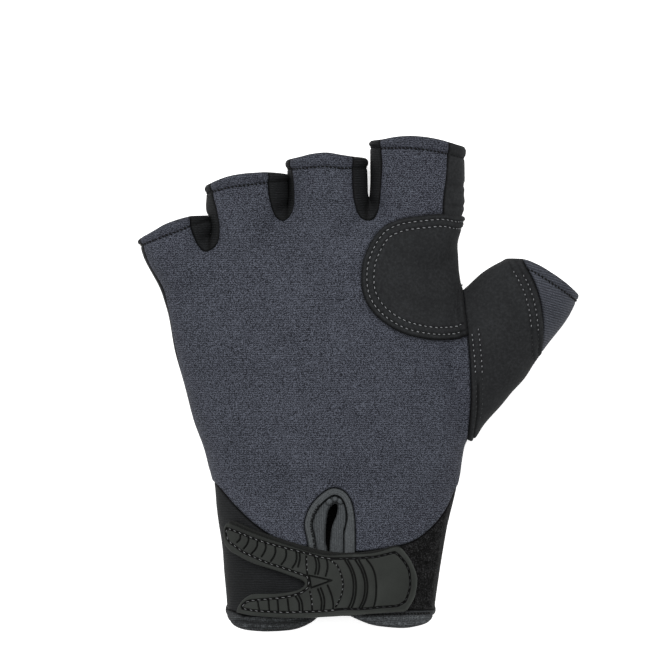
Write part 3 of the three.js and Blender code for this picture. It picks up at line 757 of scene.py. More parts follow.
def crease(distance, at, width):  # 1 in the middle, 0 outside
    return np.exp(-((distance - at) / width)**2)


def dip(distance, at, width, depth):
    return -depth * crease(distance, at, width)


def swell(distance, start, end, height):
    t = np.clip((distance - start) / (end - start), 0, 1)
    return height * np.sin(np.pi * t)**1.5


def seamShade(mesh, shade, end=0.8):  # painted shade down in the seam
    return shade * fall(mesh["seam"], 0.1, end)


def softWaves(points, size, seed):
    random = np.random.default_rng(seed)
    total = np.zeros(len(points))
    for _ in range(7):
        direction = random.normal(size=3)
        direction *= random.uniform(0.7, 1.5) * 2 * np.pi / size / np.linalg.norm(direction)
        total += np.sin(points @ direction + random.uniform(0, 2 * np.pi))
    return total / 2.6


# Objects from the pieces

made = {}  # the cut mesh, the outer surface and the object of each piece


def addPiece(name, mesh):
    piece = bpy.data.objects.new(name, mesh)
    bpy.context.scene.collection.objects.link(piece)
    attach(piece, "root")
    return piece


# The outer surface, the inner surface and the rim between them, as one closed body. Painted shading says how
# much shade is painted into the cloth's colour in its seams, stitch lines and creases, and how much highlight
# where it is below zero.
def closedPiece(name, mesh, outer, inner, material, lining=None, paintedShading=None):
    points, normals, faces = mesh["points"], mesh["normals"], mesh["faces"]
    count = len(points)
    directed = faceEdges(faces)
    key, back = directed[:, 0] * count + directed[:, 1], directed[:, 1] * count + directed[:, 0]
    a, b = directed[~np.isin(key, back)].T
    rim = np.vstack([np.stack([b, a, a + count], 1), np.stack([b, a + count, b + count], 1)])
    inner = np.broadcast_to(inner, count)
    both = np.vstack([points + normals * outer[:, None], points + normals * inner[:, None]])
    both[:, 2] = np.maximum(both[:, 2], 0)
    body = bareMesh(name, both, np.vstack([faces, faces[:, ::-1] + count, rim]))
    if paintedShading is not None:
        mark = body.attributes.new("paintedShading", "FLOAT", "POINT")
        mark.data.foreach_set("value", np.concatenate([paintedShading, np.zeros(count)]).astype(np.float32))
    body.materials.append(material)
    if lining is not None:
        body.materials.append(lining)
        index = np.zeros(len(body.polygons), np.int32)
        index[len(faces):2 * len(faces)] = 1
        body.polygons.foreach_set("material_index", index)
    body.validate()
    piece = addPiece(name, body)
    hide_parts(name)
    made[name] = mesh, both[:count], piece
    print(name, len(body.polygons), "faces")


# Lines of points where a field of a piece has a level, in order along its surface
def levelLines(name, field, levels, within=True):
    mesh, surface, _ = made[name]
    a, b = meshEdges(mesh["faces"])
    lines = []
    for level in levels:
        on = (np.abs(mesh[field] - level) < 1e-7) & within
        both = on[a] & on[b]
        links = {}
        for i, j in zip(a[both].tolist(), b[both].tolist()):
            links.setdefault(i, []).append(j)
            links.setdefault(j, []).append(i)
        seen = set()
        for start in [i for i in sorted(links) if len(links[i]) == 1] + sorted(links):
            if start in seen:
                continue
            line, onward = [], [start]
            while onward:
                line.append(onward[0])
                seen.add(onward[0])
                onward = [j for j in links[onward[0]] if j not in seen]
            if len(line) >= 6:
                lines.append((surface[line], mesh["normals"][line]))
    return lines


# Threads: short tubes that dive into the cloth at both ends

def evenly(line, normals, step=0.35):
    along = np.concatenate([[0], np.cumsum(np.linalg.norm(np.diff(line, axis=0), axis=1))])
    places = np.arange(0, along[-1], step)
    points = np.stack([np.interp(places, along, column) for column in line.T], 1)
    turned = np.stack([np.interp(places, along, column) for column in normals.T], 1)
    if len(points) > 9:
        for k in range(3):
            padded = np.concatenate([np.full(2, points[0, k]), points[:, k], np.full(2, points[-1, k])])
            points[:, k] = np.convolve(padded, np.ones(5) / 5, "valid")
    return places, points, turned / np.maximum(np.linalg.norm(turned, axis=1, keepdims=True), 1e-9)


def threadTube(centre, radius, first, second, sides):  # rings across two directions at each point
    around = (2 * np.pi * np.array(sides) / len(sides))[:, None]
    return closedTube(centre[:, None] + radius * (
        first[:, None] * np.cos(around) + second[..., None, :] * np.sin(around)))


def addThreads(name, tubes, material):
    mesh = bareMesh(name, *joined(tubes))
    mesh.materials.append(material)
    mesh.validate()
    addPiece(name, mesh)
    print(name, len(tubes), "threads")


def addStitches(name, lines, look, material, seed):
    random = np.random.default_rng(seed)
    share = np.linspace(0, 1, 7)
    arc = np.sin(np.pi * share)[:, None]
    tubes = []
    for line, normals in lines:
        places, points, turned = evenly(line, normals)
        if len(places) < 4:
            continue
        start = look["pitch"] * 0.3
        while start + look["length"] < places[-1]:
            at = start + look["length"] * random.uniform(0.9, 1.1) * share
            centre = np.stack([np.interp(at, places, column) for column in points.T], 1)
            up = np.stack([np.interp(at, places, column) for column in turned.T], 1)
            forward = np.gradient(centre, axis=0)
            forward /= np.linalg.norm(forward, axis=1, keepdims=True)
            aside = np.cross(forward, up)
            rise = up * (look["lift"] * arc - look["sink"])
            centre = centre + rise + aside * look["slant"] * (share - 0.5)[:, None]
            radius = look["radius"] * (0.55 + 0.45 * arc)
            tubes.append(threadTube(centre, radius[:, None], aside, up, range(6)[::-1]))
            start += look["pitch"] * random.uniform(0.96, 1.04)
    addThreads(name, tubes, material)


# Materials

def linear(hexColour):  # a screen colour as the shader's own values
    values = [int(hexColour[i:i + 2], 16) / 255 for i in (0, 2, 4)]
    return [v / 12.92 if v <= 0.04045 else ((v + 0.055) / 1.055)**2.4 for v in values] + [1.0]


class Nodes:
    def __init__(self, name, look):
        self.look = look
        self.material = bpy.data.materials.new(name)
        self.material.use_nodes = True
        self.tree = self.material.node_tree
        self.shader = self.tree.nodes["Principled BSDF"]
        self.shader.inputs["Roughness"].default_value = look["roughness"]
        self.shader.inputs["Specular IOR Level"].default_value = look.get("specular", 0.12)
        self.place = self.add("TexCoord", {}).outputs["Object"]

    def put(self, value, socket):  # a link, or a value that stays the same
        if hasattr(value, "links"):
            self.tree.links.new(value, socket)
        else:
            socket.default_value = value

    def add(self, kind, inputs):
        node = self.tree.nodes.new("ShaderNode" + kind)
        for name, value in inputs.items():
            self.put(value, node.inputs[name])
        return node

    def math(self, operation, a, b=0.0, c=0.0):
        node = self.add("Math", {0: a, 1: b, 2: c})
        node.operation = operation
        return node.outputs[0]

    def varied(self, share, value, contrast):  # lighter and darker with a value that is 0.5 in the mean
        return self.math("MULTIPLY_ADD", self.math("SUBTRACT", value, 0.5), contrast, share)

    def axes(self):  # the place along X, Y and Z, turned in plan by some degrees
        angle = math.radians(self.look.get("turn", 0))
        turned = self.add("VectorRotate", {"Vector": self.place, "Angle": angle})
        turned.rotation_type = "Z_AXIS"
        return self.add("SeparateXYZ", {0: turned.outputs[0]}).outputs

    def noise(self, size, detail, roughness=0.5):  # size of a feature in millimetres
        return self.add("TexNoise", {
            "Vector": self.place, "Scale": 1 / (size * mm), "Detail": detail, "Roughness": roughness,
        }).outputs["Fac"]

    def waves(self, axis, pitch):  # from -1 to 1, with a pitch in millimetres
        return self.math("SINE", self.math("MULTIPLY", axis, 2 * math.pi / (pitch * mm)))

    def colours(self, share):
        node = self.add("ValToRGB", {0: share})
        elements, hexColours = node.color_ramp.elements, self.look["colours"]
        while len(elements) < len(hexColours):
            elements.new(0.5)
        for i, hexColour in enumerate(hexColours):
            elements[i].position = i / (len(hexColours) - 1)
            elements[i].color = linear(hexColour)
        return node.outputs[0]

    def finish(self, share, height):  # colours by a share from 0 to 1, darkened by painted shade and lightened by painted highlights, and a relief in millimetres
        # The painted shading attribute darkens the colour as painted shade, and lightens it as painted
        # highlight where it is below zero
        mark = self.add("Attribute", {})
        mark.attribute_name = "paintedShading"
        shade = self.add("HueSaturation", {
            "Color": self.colours(share), "Value": self.math("SUBTRACT", 1, mark.outputs["Fac"]),
        })
        self.put(shade.outputs[0], self.shader.inputs["Base Color"])
        bump = self.add("Bump", {"Height": height, "Distance": self.look["relief"] * mm})
        self.put(bump.outputs[0], self.shader.inputs["Normal"])
        return self.material


knitLook = {
    "roughness": 0.85, "relief": 0.05, "column": 0.6, "mottle": 0.4,
    "drift": 0.9, "driftSize": 5,  # how far the rows wander, as a share of a row
    "patches": 14, "patchContrast": 0.35,
    "lighterAlong": (-0.02, 0.01),  # metres along X
}


# Knit cloth: rows of small stitches across, with a heathered mottle
def knitMaterial(name, look):
    look = {**knitLook, **look}
    nodes = Nodes(name, look)
    x, y, z = nodes.axes()
    drift = nodes.math("MULTIPLY", nodes.noise(look["driftSize"], 1), look["row"] * mm * look["drift"])
    rows = nodes.waves(nodes.math("ADD", y, drift), look["row"])
    loops = nodes.math("MULTIPLY", rows, nodes.waves(nodes.math("ADD", x, z), look["column"]))
    mottle = nodes.noise(look["mottle"], 2, 0.6)
    share = nodes.math("MULTIPLY_ADD", rows, look["rowContrast"], 0.5)
    share = nodes.math("MULTIPLY_ADD", loops, look["loopContrast"], share)
    share = nodes.varied(share, mottle, look["mottleContrast"])
    share = nodes.varied(share, nodes.noise(look["patches"], 2), look["patchContrast"])
    if "lighterTo" in look:  # from left to right; on the hem binding the darker left is partly its own binding and partly painted shade from the strap
        start, end = look["lighterAlong"]
        along = nodes.add("MapRange", {"Value": x, "From Min": start, "From Max": end})
        share = nodes.math("MULTIPLY_ADD", along.outputs[0], look["lighterTo"], share)
    height = nodes.math("MULTIPLY_ADD", loops, 0.35, nodes.math("MULTIPLY_ADD", rows, 0.5, mottle))
    return nodes.finish(share, height)


grainLook = {"grainDetail": 3, "grainRoughness": 0.7, "patchDetail": 2}


# Napped cloth that catches light in soft patches, and moulded rubber with dust in its grain
def grainyMaterial(name, look):
    look = {**grainLook, **look}
    nodes = Nodes(name, look)
    grain = nodes.noise(look["grain"], look["grainDetail"], look["grainRoughness"])
    share = nodes.varied(0.5, grain, look["grainContrast"])
    share = nodes.varied(share, nodes.noise(look["patches"], look["patchDetail"]), look["patchContrast"])
    return nodes.finish(share, grain)


wovenLook = {
    "roughness": 0.7, "relief": 0.02, "strand": 0.35, "contrast": 0.3, "fuzz": 0.5, "fuzzContrast": 1.1,
}


# Woven tape and twisted thread: fine diagonal strands
def wovenMaterial(name, look):
    look = {**wovenLook, **look}
    nodes = Nodes(name, look)
    x, y, z = nodes.axes()
    warp = nodes.waves(nodes.math("ADD", x, z), look["strand"])
    weave = nodes.math("MULTIPLY", warp, nodes.waves(y, look["strand"] * 0.8))
    fuzz = nodes.noise(look["fuzz"], 3, 0.7)
    share = nodes.math("MULTIPLY_ADD", weave, look["contrast"], 0.5)
    return nodes.finish(nodes.varied(share, fuzz, look["fuzzContrast"]), nodes.math("ADD", weave, fuzz))


greyKnit = knitMaterial("grey_knit", {
    "colours": ("101116", "282a31", "494c55"), "row": 0.72, "mottle": 0.31, "rowContrast": 0.16,
    "loopContrast": 0.14, "mottleContrast": 5.4,
})
thumbKnit = knitMaterial("grey_knit_thumb", {
    "colours": ("1a1b1f", "313339", "4c4f57"), "row": 0.8, "rowContrast": 0.22, "loopContrast": 0.12,
    "mottleContrast": 1.2, "relief": 0.06, "turn": 16,
})
blackJersey = knitMaterial("black_jersey", {
    "colours": ("050606", "101112", "1f2022"), "row": 0.8, "column": 0.7, "mottle": 0.3, "rowContrast": 0.18,
    "loopContrast": 0.2, "mottleContrast": 1.6,
})
lining = knitMaterial("lining_knit", {
    "colours": ("070707", "0d0d0e", "141415"), "roughness": 0.9, "row": 0.9, "column": 0.7, "mottle": 1.0,
    "rowContrast": 0.25, "loopContrast": 0.15, "mottleContrast": 1.0, "relief": 0.06,
})
# Darker on its left lobe: partly its own binding, partly painted shade from the strap
hemBinding = knitMaterial("hem_binding", {
    "colours": ("101111", "1b1c1c", "2e3032", "3e4143"), "row": 0.7, "column": 0.5, "rowContrast": 0.16,
    "loopContrast": 0.1, "mottleContrast": 2.2, "lighterTo": 0.16,
})
blackSuede = grainyMaterial("black_suede", {
    "colours": ("121214", "1c1d1e", "28292b"), "roughness": 0.95, "grain": 0.9, "patches": 8,
    "grainContrast": 1.5, "patchContrast": 0.4, "relief": 0.05,
})
loopPile = grainyMaterial("loop_pile", {
    "colours": ("010101", "080808", "2c2c2d"), "roughness": 1.0, "grain": 0.45, "patches": 3,
    "grainContrast": 3.2, "patchContrast": 0.9, "relief": 0.25,
})
mouldedRubber = grainyMaterial("moulded_rubber", {
    "colours": ("1e1f1e", "242624", "2b2d2b"), "roughness": 0.6, "specular": 0.07, "grain": 0.35,
    "patches": 9, "grainContrast": 0.5, "patchContrast": 1.2, "relief": 0.02, "grainDetail": 2,
    "grainRoughness": 0.6, "patchDetail": 3,
})
greyTape = wovenMaterial("grey_tape", {
    "colours": ("2c2e2f", "434648", "5f6264"), "roughness": 0.85, "strand": 0.4, "contrast": 0.15,
    "relief": 0.05,
})
ribbedKnit = wovenMaterial("ribbed_knit", {
    "colours": ("1e1f20", "3d4042", "5a5d60"), "roughness": 0.9, "strand": 0.5, "contrast": 0.12,
    "relief": 0.04,
})
strapWebbing = wovenMaterial("strap_backing", {
    "colours": ("090909", "121312", "1e1f1e"), "roughness": 0.8, "strand": 0.6, "contrast": 0.25,
    "relief": 0.05,
})
paleThread = wovenMaterial("pale_thread", {"colours": ("505152", "767779", "989a9d")})
greyThread = wovenMaterial("grey_thread", {"colours": ("3c3d3d", "606162", "858688")})
dullThread = wovenMaterial("dull_thread", {"colours": ("1c1d1e", "2d2e2f", "424345")})
darkThread = wovenMaterial("dark_thread", {"colours": ("040404", "090909", "111112")})
print("materials made")


# Panels of neoprene

panelLook = {
    "roll": 0.75,  # radius of the edge along a seam
    "liningRoll": 0.3,
    "proud": 0,
    "waves": 0.12, "waveSize": 16,
    "hemSwell": 0.45,  # how far a hem stands out
    "rowAt": 0.2, "rowWidth": 0.55, "hemDip": 0.45,  # its stitches lie in a dip, this far past its width
    "seamShade": 0.55, "rowShade": 0.25, "hemShade": 0.12, "mouthShade": 0.4,
}
hemLevels = [
    *rollLevels("mouth", hemThick / 2), *dipLevels("hemPlace", panelLook["rowAt"], panelLook["rowWidth"]),
]


# Outer and inner surface of a sewn panel: rolled along its seams, with a folded hem at a finger's mouth, and
# shade painted into its seams, stitch rows, hem and mouth
def panelShape(mesh, look):
    outer = rolledSeam(mesh, look["roll"]) + look["proud"]
    inner = -glove["wall"] - rolledSeam(mesh, look["liningRoll"])
    paintedShading = seamShade(mesh, look["seamShade"])
    if "mouth" in mesh:
        distance, width = mesh["mouth"], mesh["hemWidth"]
        inHem, row = fall(distance, width - 0.2, width + 0.8), width + look["rowAt"]
        fullness = 0.6 + 0.4 * np.sin(np.pi * np.clip(distance / width, 0, 1))
        outer += look["hemSwell"] * inHem * fullness
        folded = rolledEdge(distance, hemThick / 2)
        outer = outer + dip(distance, row, look["rowWidth"], look["hemDip"]) + folded
        inner = inner - glove["foldedHem"] * inHem - folded
        paintedShading = most(paintedShading, look["rowShade"] * crease(distance, row, 0.4),
                      look["hemShade"] * fall(distance, width - 0.5, width + 0.2),
                      look["mouthShade"] * fall(distance, 0.2, 1.1))
    outer += look["waves"] * softWaves(mesh["points"], look["waveSize"], look["seed"])
    return outer, inner, paintedShading


def addPanel(name, seam, look, material, hasMouth=True, levels=(), shape=None, **fields):
    look = {**panelLook, **look}
    levels = [*seamLevels(look["roll"]), *(hemLevels if hasMouth else ()), *levels]
    if hasMouth:
        fields = {"mouth": mouth, "hemWidth": hemWidth, "hemPlace": mouth - hemWidth, **fields}
    mesh = cutPiece({"seam": seam, **fields}, levels)
    outer, inner, paintedShading = panelShape(mesh, look)
    if shape is not None:
        outer, paintedShading = shape(mesh, outer, paintedShading)
    closedPiece(name, mesh, outer, inner, material, lining, paintedShading)


backLook = {"slot": "grey_knit", "seed": 11, "archLift": 0.35, "archLiftWidth": 5, "patchShade": 0.6}


def backShape(mesh, outer, paintedShading):  # the back laps over the cuff along the arch, with a shadow painted round the patch
    lift = backLook["archLift"] * fall(mesh["arch"], 0, backLook["archLiftWidth"])
    patchShadow = backLook["patchShade"] * fall(-mesh["patch"], 0, 0.8)
    return outer + np.where(mesh["arch"] > 0, lift, 0), most(paintedShading, patchShadow)


addPanel("back_panel", least(arch, side, -anyGusset, -indexSide, -thumb, -slit), backLook, greyKnit,
         shape=backShape, arch=arch, patch=patch)

palmLook = {
    "slot": "black_suede", "seed": 12,
    "sideX": (28, 32), "sideY": (46, 52),  # where the outer side of the index finger begins
    "creases": (65.4, 58.6, 52.4),  # y on that side
    "creaseWidth": 0.9, "creaseDepth": 0.45, "creaseShade": 0.3,
}


def palmShape(mesh, outer, paintedShading):
    x, y = mesh["points"][:, 0], mesh["points"][:, 1]
    onSide = smoothStep(x, *palmLook["sideX"]) * smoothStep(y, *palmLook["sideY"])
    for at in palmLook["creases"]:
        outer += onSide * dip(y, at, palmLook["creaseWidth"], palmLook["creaseDepth"])
        paintedShading = most(paintedShading, palmLook["creaseShade"] * onSide * crease(y, at, 0.6))
    return outer, paintedShading


addPanel("palm_panel", least(palmLine, most(-side, indexSide), -anyGusset, -thumb), palmLook, blackSuede,
         shape=palmShape)

foldAt = {"pinky_ring": 0.0, "ring_middle": 0.0, "middle_index": -1.3}  # past the middle of each slot
foldShade = 0.8


def gussetShape(mesh, outer, paintedShading):  # painted shade down in the fold between two fingers
    return outer, most(paintedShading, foldShade * crease(mesh["fold"], 0, 0.8))


for number, (name, region) in enumerate(gussets.items()):
    gussetLook = {"slot": "black_jersey", "seed": 20 + number, "roll": 0.6}
    addPanel("gusset_" + name, region, gussetLook, blackJersey, shape=gussetShape,
             fold=beyondSlot[name] - foldAt[name])

thumbLook = {
    "slot": "black_suede", "seed": 31, "hemSwell": 0.1, "hemDip": 0.0, "rowShade": 0.0,
    "sideRows": (2.1, 4.3), "footRows": (1.8, 4.0), "drawn": 0.4, "rowDip": 0.28, "drawnShade": 0.4,
    "rowsZ": (12.5, 17), "rowsFromMouth": (1, 5),  # over which the side rows come in
    "seamLift": 0.4, "liftOver": (3.5, 7), "sideSwells": (0.25, 0.12),
    "band": 0.45, "bandCrease": 2.4, "creaseDepth": 0.45, "creaseShade": 0.6,
    "bandZ": (7, 13), "bandTop": 19.0,  # y where the cord-like band comes out from under the patch
    "lowY": (-2, 6),  # below this the band has a crease, above it the foot rows
}


# Raised where it laps over the grey side, a cord-like band at its foot, drawn in along its stitches
def thumbShape(mesh, outer, paintedShading):
    look = thumbLook
    fromSide, fromFoot = -mesh["thumbOuter"], mesh["thumb"]
    y, z = mesh["points"][:, 1], mesh["points"][:, 2]
    inRows = smoothStep(z, *look["rowsZ"]) * smoothStep(mesh["mouth"], *look["rowsFromMouth"])
    belowPatch = smoothStep(z, *look["bandZ"]) * fall(y, look["bandTop"] - 3, look["bandTop"])
    lowDown = fall(y, *look["lowY"])
    outer += look["seamLift"] * fall(fromSide, *look["liftOver"]) * inRows
    outer += swell(fromSide, 0, look["sideRows"][0], look["sideSwells"][0]) * inRows
    outer += swell(fromSide, *look["sideRows"], look["sideSwells"][1]) * inRows
    outer += swell(fromFoot, 0, look["bandCrease"], look["band"]) * belowPatch
    inCrease = crease(fromFoot, look["bandCrease"], look["drawn"])
    outer -= look["creaseDepth"] * inCrease * belowPatch * lowDown
    paintedShading = most(paintedShading, look["creaseShade"] * inCrease * belowPatch * lowDown)
    for distance, rows, where in (
            (fromSide, look["sideRows"], inRows), (fromFoot, look["footRows"], belowPatch * (1 - lowDown))):
        for at in rows:
            outer += dip(distance, at, look["drawn"], look["rowDip"]) * where
            paintedShading = most(paintedShading, look["drawnShade"] * crease(distance, at, look["drawn"]) * where)
    return outer, paintedShading


thumbLevels = [
    (field, sign * (at + step)) for field, sign, rows in (
        ("thumbOuter", -1, thumbLook["sideRows"]),
        ("thumb", 1, (*thumbLook["footRows"], thumbLook["bandCrease"])),
    ) for at in rows for step in (-thumbLook["drawn"], 0, thumbLook["drawn"])
]
addPanel("thumb_panel", least(thumb, -thumbOuter), thumbLook, blackSuede, levels=thumbLevels,
         shape=thumbShape, thumbOuter=thumbOuter, thumb=thumb)
thumbBackLook = {"slot": "grey_knit", "seed": 32, "hemSwell": 0.2, "hemDip": 0.3}
addPanel("thumb_back", least(thumb, thumbOuter), thumbBackLook, thumbKnit)

cuffSide = least(-hand, -thumb, hemLine, -slit)
bandLook = {"slot": "black_jersey", "seed": 41, "seamShade": 0.85}
addPanel("cuff_band", least(cuffSide, -loopSide), bandLook, blackJersey, hasMouth=False)
loopLook = {"slot": "loop_pile", "seed": 42, "proud": 0.3, "roll": 0.6, "seamShade": 0.8}
addPanel("loop_panel", least(cuffSide, loopSide), loopLook, loopPile, hasMouth=False)


# Patch over the index knuckle, laid on the panels, with two rows of stitches
patchLook = {
    "base": 0.15, "thick": 1.1, "roll": 0.8, "rows": (1.8, 4.1), "rowWidth": 0.35, "rowDip": 0.3,
    "foot": 7.0,  # height where it ends on the side of the hand
    "overThumb": 0.9,  # how far it laps over the seam of the thumb
    "step": 0.5, "stepOver": (-2.4, -0.2),  # how much higher it lies there
    "swell": 0.15, "waves": 0.12, "waveSize": 14, "seed": 51, "seamShade": 0.6, "rowShade": 0.45,
}


def makePatch(look):
    seam = least(patch, look["overThumb"] - thumb, heightDistance(look["foot"]))
    levels = seamLevels(look["roll"])
    for at in look["rows"]:
        levels += dipLevels("patch", at, look["rowWidth"])
    mesh = cutPiece({"seam": seam, "patch": patch, "thumb": thumb}, levels)
    base = look["base"] + look["step"] * smoothStep(mesh["thumb"], *look["stepOver"])
    outer = (base + look["thick"] + rolledSeam(mesh, look["roll"])
             + swell(mesh["patch"], 0, look["rows"][0], look["swell"])
             + swell(mesh["patch"], *look["rows"], look["swell"])
             + look["waves"] * softWaves(mesh["points"], look["waveSize"], look["seed"]))
    paintedShading = seamShade(mesh, look["seamShade"])
    for at in look["rows"]:
        outer += dip(mesh["patch"], at, look["rowWidth"], look["rowDip"])
        paintedShading = most(paintedShading, look["rowShade"] * crease(mesh["patch"], at, 0.4))
    closedPiece("web_patch", mesh, outer, base, blackSuede, lining, paintedShading)


makePatch(patchLook)


# Slit at the wrist: its edge tape and the ribbed facings inside
tapeLook = {
    "width": 2.3, "proud": 0.4, "roll": 0.6, "stitchAt": 2.0, "ribPitch": 0.7, "ribHeight": 0.1,
    "ribLevels": np.arange(0.5, 3.8, 0.25),  # where its ribs have points
    "ribShade": 0.14, "seamShade": 0.3, "rightX": (-12, -6),  # the painted shade in its seams is twice as dark on the right
}
rightSpread = {"width": 1.4, "x": (-8, -5), "y": (-50.5, -43)}  # how much wider the right side is below
tapeExtra = rightSpread["width"] * smoothStep(skinX, *rightSpread["x"]) * fall(skinY, *rightSpread["y"])


def makeTape(look):
    mesh = cutPiece(
        {"seam": least(slit, look["width"] + tapeExtra - slit), "slit": slit, "end": cuffEnd},
        seamLevels(look["roll"]) + [("slit", at) for at in (look["stitchAt"], *look["ribLevels"])])
    ribs = np.cos(2 * np.pi * mesh["slit"] / look["ribPitch"])
    outer = look["proud"] + rolledSeam(mesh, look["roll"]) + look["ribHeight"] * ribs
    right = smoothStep(mesh["points"][:, 0], *look["rightX"])
    # Painted shade in its seams, twice as dark on the right, and between its ribs
    paintedShading = most(seamShade(mesh, look["seamShade"] + look["seamShade"] * right, 0.5),
                  look["ribShade"] - look["ribShade"] * ribs)
    closedPiece("slit_binding", mesh, outer, -glove["wall"], greyTape, paintedShading=paintedShading)


makeTape(tapeLook)

facingLook = {
    "thick": 1.1, "deep": 2.4, "shallow": 0.6, "roll": 0.5,
    "ribPitch": 0.8, "ribHeight": 0.15, "ribShade": 0.16, "ribLean": 0.03,
    "end": -75.0, "finest": -52.0,  # y
    "tapeEdge": (2.3, 2.9), "slotEdge": (-0.2, 0.8),  # over which it rises from the tape and the slot
    "tuckShade": 0.75, "leftShade": 0.2, "rightShade": 0.55, "rightX": (-8, -5), "slotShade": 0.5,
}
tucks = table("x y radius height", [  # at the top of the slit
    (-9.45, -38.9, 1.1, 1.0),
    (-7.6, -38.0, 0.9, 1.1),
    (-5.8, -38.6, 1.05, 1.0),
])


def makeFacing(look):
    seam = least(slit, -slot, skinY - look["end"])
    mesh = cutPiece({"seam": seam, "slit": slit, "slot": slot, "extra": tapeExtra}, seamLevels(look["roll"]),
                    refinements=1)
    mesh = refined(mesh, (mesh["points"][mesh["faces"], 1] > look["finest"]).any(1))
    fromSlot, fromTape = -mesh["slot"], mesh["slit"] - mesh["extra"]
    rise = smoothStep(fromTape, *look["tapeEdge"]) * smoothStep(fromSlot, *look["slotEdge"])
    x, y = mesh["points"][:, :2].T
    lump, tuckShadeRing = np.zeros(len(x)), np.zeros(len(x))
    for tuckX, tuckY, radius, height in zip(*tucks.values()):
        away = np.hypot(x - tuckX, y - tuckY) / radius
        lump = most(lump, height * np.sqrt(np.clip(1 - away**2, 0, 1)))
        tuckShadeRing = most(tuckShadeRing, look["tuckShade"] * crease(away, 1.05, 0.2))
    ribs = np.cos(2 * np.pi * (x + look["ribLean"] * (y + 60)) / look["ribPitch"])
    plain = fall(lump, 0.0, 0.2)
    base = -(look["deep"] - (look["deep"] - look["shallow"]) * rise)
    outer = base + lump + look["ribHeight"] * ribs * plain + rolledSeam(mesh, look["roll"])
    shade = look["leftShade"] + look["rightShade"] * smoothStep(x, *look["rightX"])
    # Painted shade in the ring round each tuck, between the ribs, along the tape and along the slot
    paintedShading = most(np.where(lump > 0.3, 0, tuckShadeRing), (look["ribShade"] - look["ribShade"] * ribs) * plain,
                  shade * fall(fromTape, 2.3, 2.8), look["slotShade"] * fall(fromSlot, 0, 0.5))
    closedPiece("slit_facing", mesh, outer, outer - look["thick"], ribbedKnit, lining, paintedShading)


makeFacing(facingLook)


# Bound end of the cuff, with a lobe each side of the slit
hemLook = {
    "proud": 0.4, "roll": 0.7, "foldDepth": 0.55, "foldWidth": 0.5, "waves": 0.1, "waveSize": 9, "seed": 61,
    "topZ": (10, 16), "finest": 24,  # heights where its upper side begins, and above which it is refined
    "seamShade": 0.55, "foldShade": 0.6, "endShade": 0.4,
    # painted highlights along ridges of its upper side, broken up here and there
    "highlightStrength": 0.9, "highlightWidth": 0.45, "highlightShare": 0.6, "highlightContrast": 0.7, "highlightBreakSize": 2.5,
    "highlightSeed": 62,
}
hemFolds = [  # folds in the left lobe
    [(-39.5, -78.1), (-34, -78.8), (-28, -79.0), (-22, -78.7), (-16.5, -77.6)],
    [(-36, -80.2), (-30, -80.6), (-24, -80.3)],
]
hemRow = [(2, -76.1), (14.1, -75.9), (24, -75.7)]  # stitch line of the right lobe
hemHighlights = [  # painted highlights along ridges of the upper side
    [(-42.6, -76.6), (-38, -76.9), (-30, -77.4), (-21, -77.4), (-15, -76.9)],
    [(-38, -79.6), (-32, -80.1), (-24, -80.0)],
    [(-1, -77.6), (6, -77.4), (15, -77.1), (23.5, -76.9)],
    [(6, -78.8), (15, -79.1), (21.5, -78.6)],
]


def makeHem(look):
    mesh = cutPiece({"seam": least(-hemLine, -slit), "end": cuffEnd},
                    seamLevels(look["roll"]) + rollLevels("end", hemThick / 2))
    mesh = refined(mesh, (mesh["points"][mesh["faces"], 2] > look["finest"]).all(1))
    points, end = mesh["points"], rolledEdge(mesh["end"], hemThick / 2)
    top = smoothStep(points[:, 2], *look["topZ"])
    fold = lineDistance(points[:, :2], [*hemFolds, hemRow])
    outer = (look["proud"] + rolledSeam(mesh, look["roll"]) + end
             + look["waves"] * softWaves(points, look["waveSize"], look["seed"])
             + dip(fold, 0, look["foldWidth"], look["foldDepth"]) * top)
    # Painted shade in the seam, in the folds of the upper side and at the end
    paintedShading = most(seamShade(mesh, look["seamShade"]),
                  look["foldShade"] * crease(fold, 0, look["foldWidth"]) * top,
                  look["endShade"] * fall(mesh["end"], 0.2, 1))
    # Painted highlights along the ridges of the upper side, broken up here and there
    highlightAmount = look["highlightShare"] + look["highlightContrast"] * softWaves(points, look["highlightBreakSize"], look["highlightSeed"])
    highlightLine = crease(lineDistance(points[:, :2], hemHighlights), 0, look["highlightWidth"])
    paintedShading -= look["highlightStrength"] * np.clip(highlightAmount, 0, 1) * highlightLine * top
    closedPiece("cuff_hem", mesh, outer, -glove["wall"] - end, hemBinding, paintedShading=paintedShading)


makeHem(hemLook)


# Strap: a woven backing and the moulded face on it
strapLook = {"base": 0.6, "thick": 1.3, "roll": 0.5}


def makeStrap(look):
    mesh = cutPiece({"seam": strap}, seamLevels(look["roll"]))
    outer = look["base"] + look["thick"] + rolledSeam(mesh, look["roll"])
    closedPiece("strap_base", mesh, outer, look["base"], strapWebbing)


makeStrap(strapLook)

tabLook = {
    "base": 1.95, "thick": 1.3, "roll": 0.45, "channel": 0.33, "channelSide": 0.12, "channelDepth": 0.4,
    "grooveWidth": 0.17, "grooveSide": 0.16, "grooveDepth": 0.8, "crown": 0.18, "crownWidth": 1.3,
    "refinedTo": 0.38,  # distance from the middle of a groove
    "grooveShade": 0.8, "channelShade": 1.0,
    "rimLight": 0.45, "lightOver": (0.4, 1.2), "rimShade": 0.3, "shadeOver": (1.5, 2.5),
}
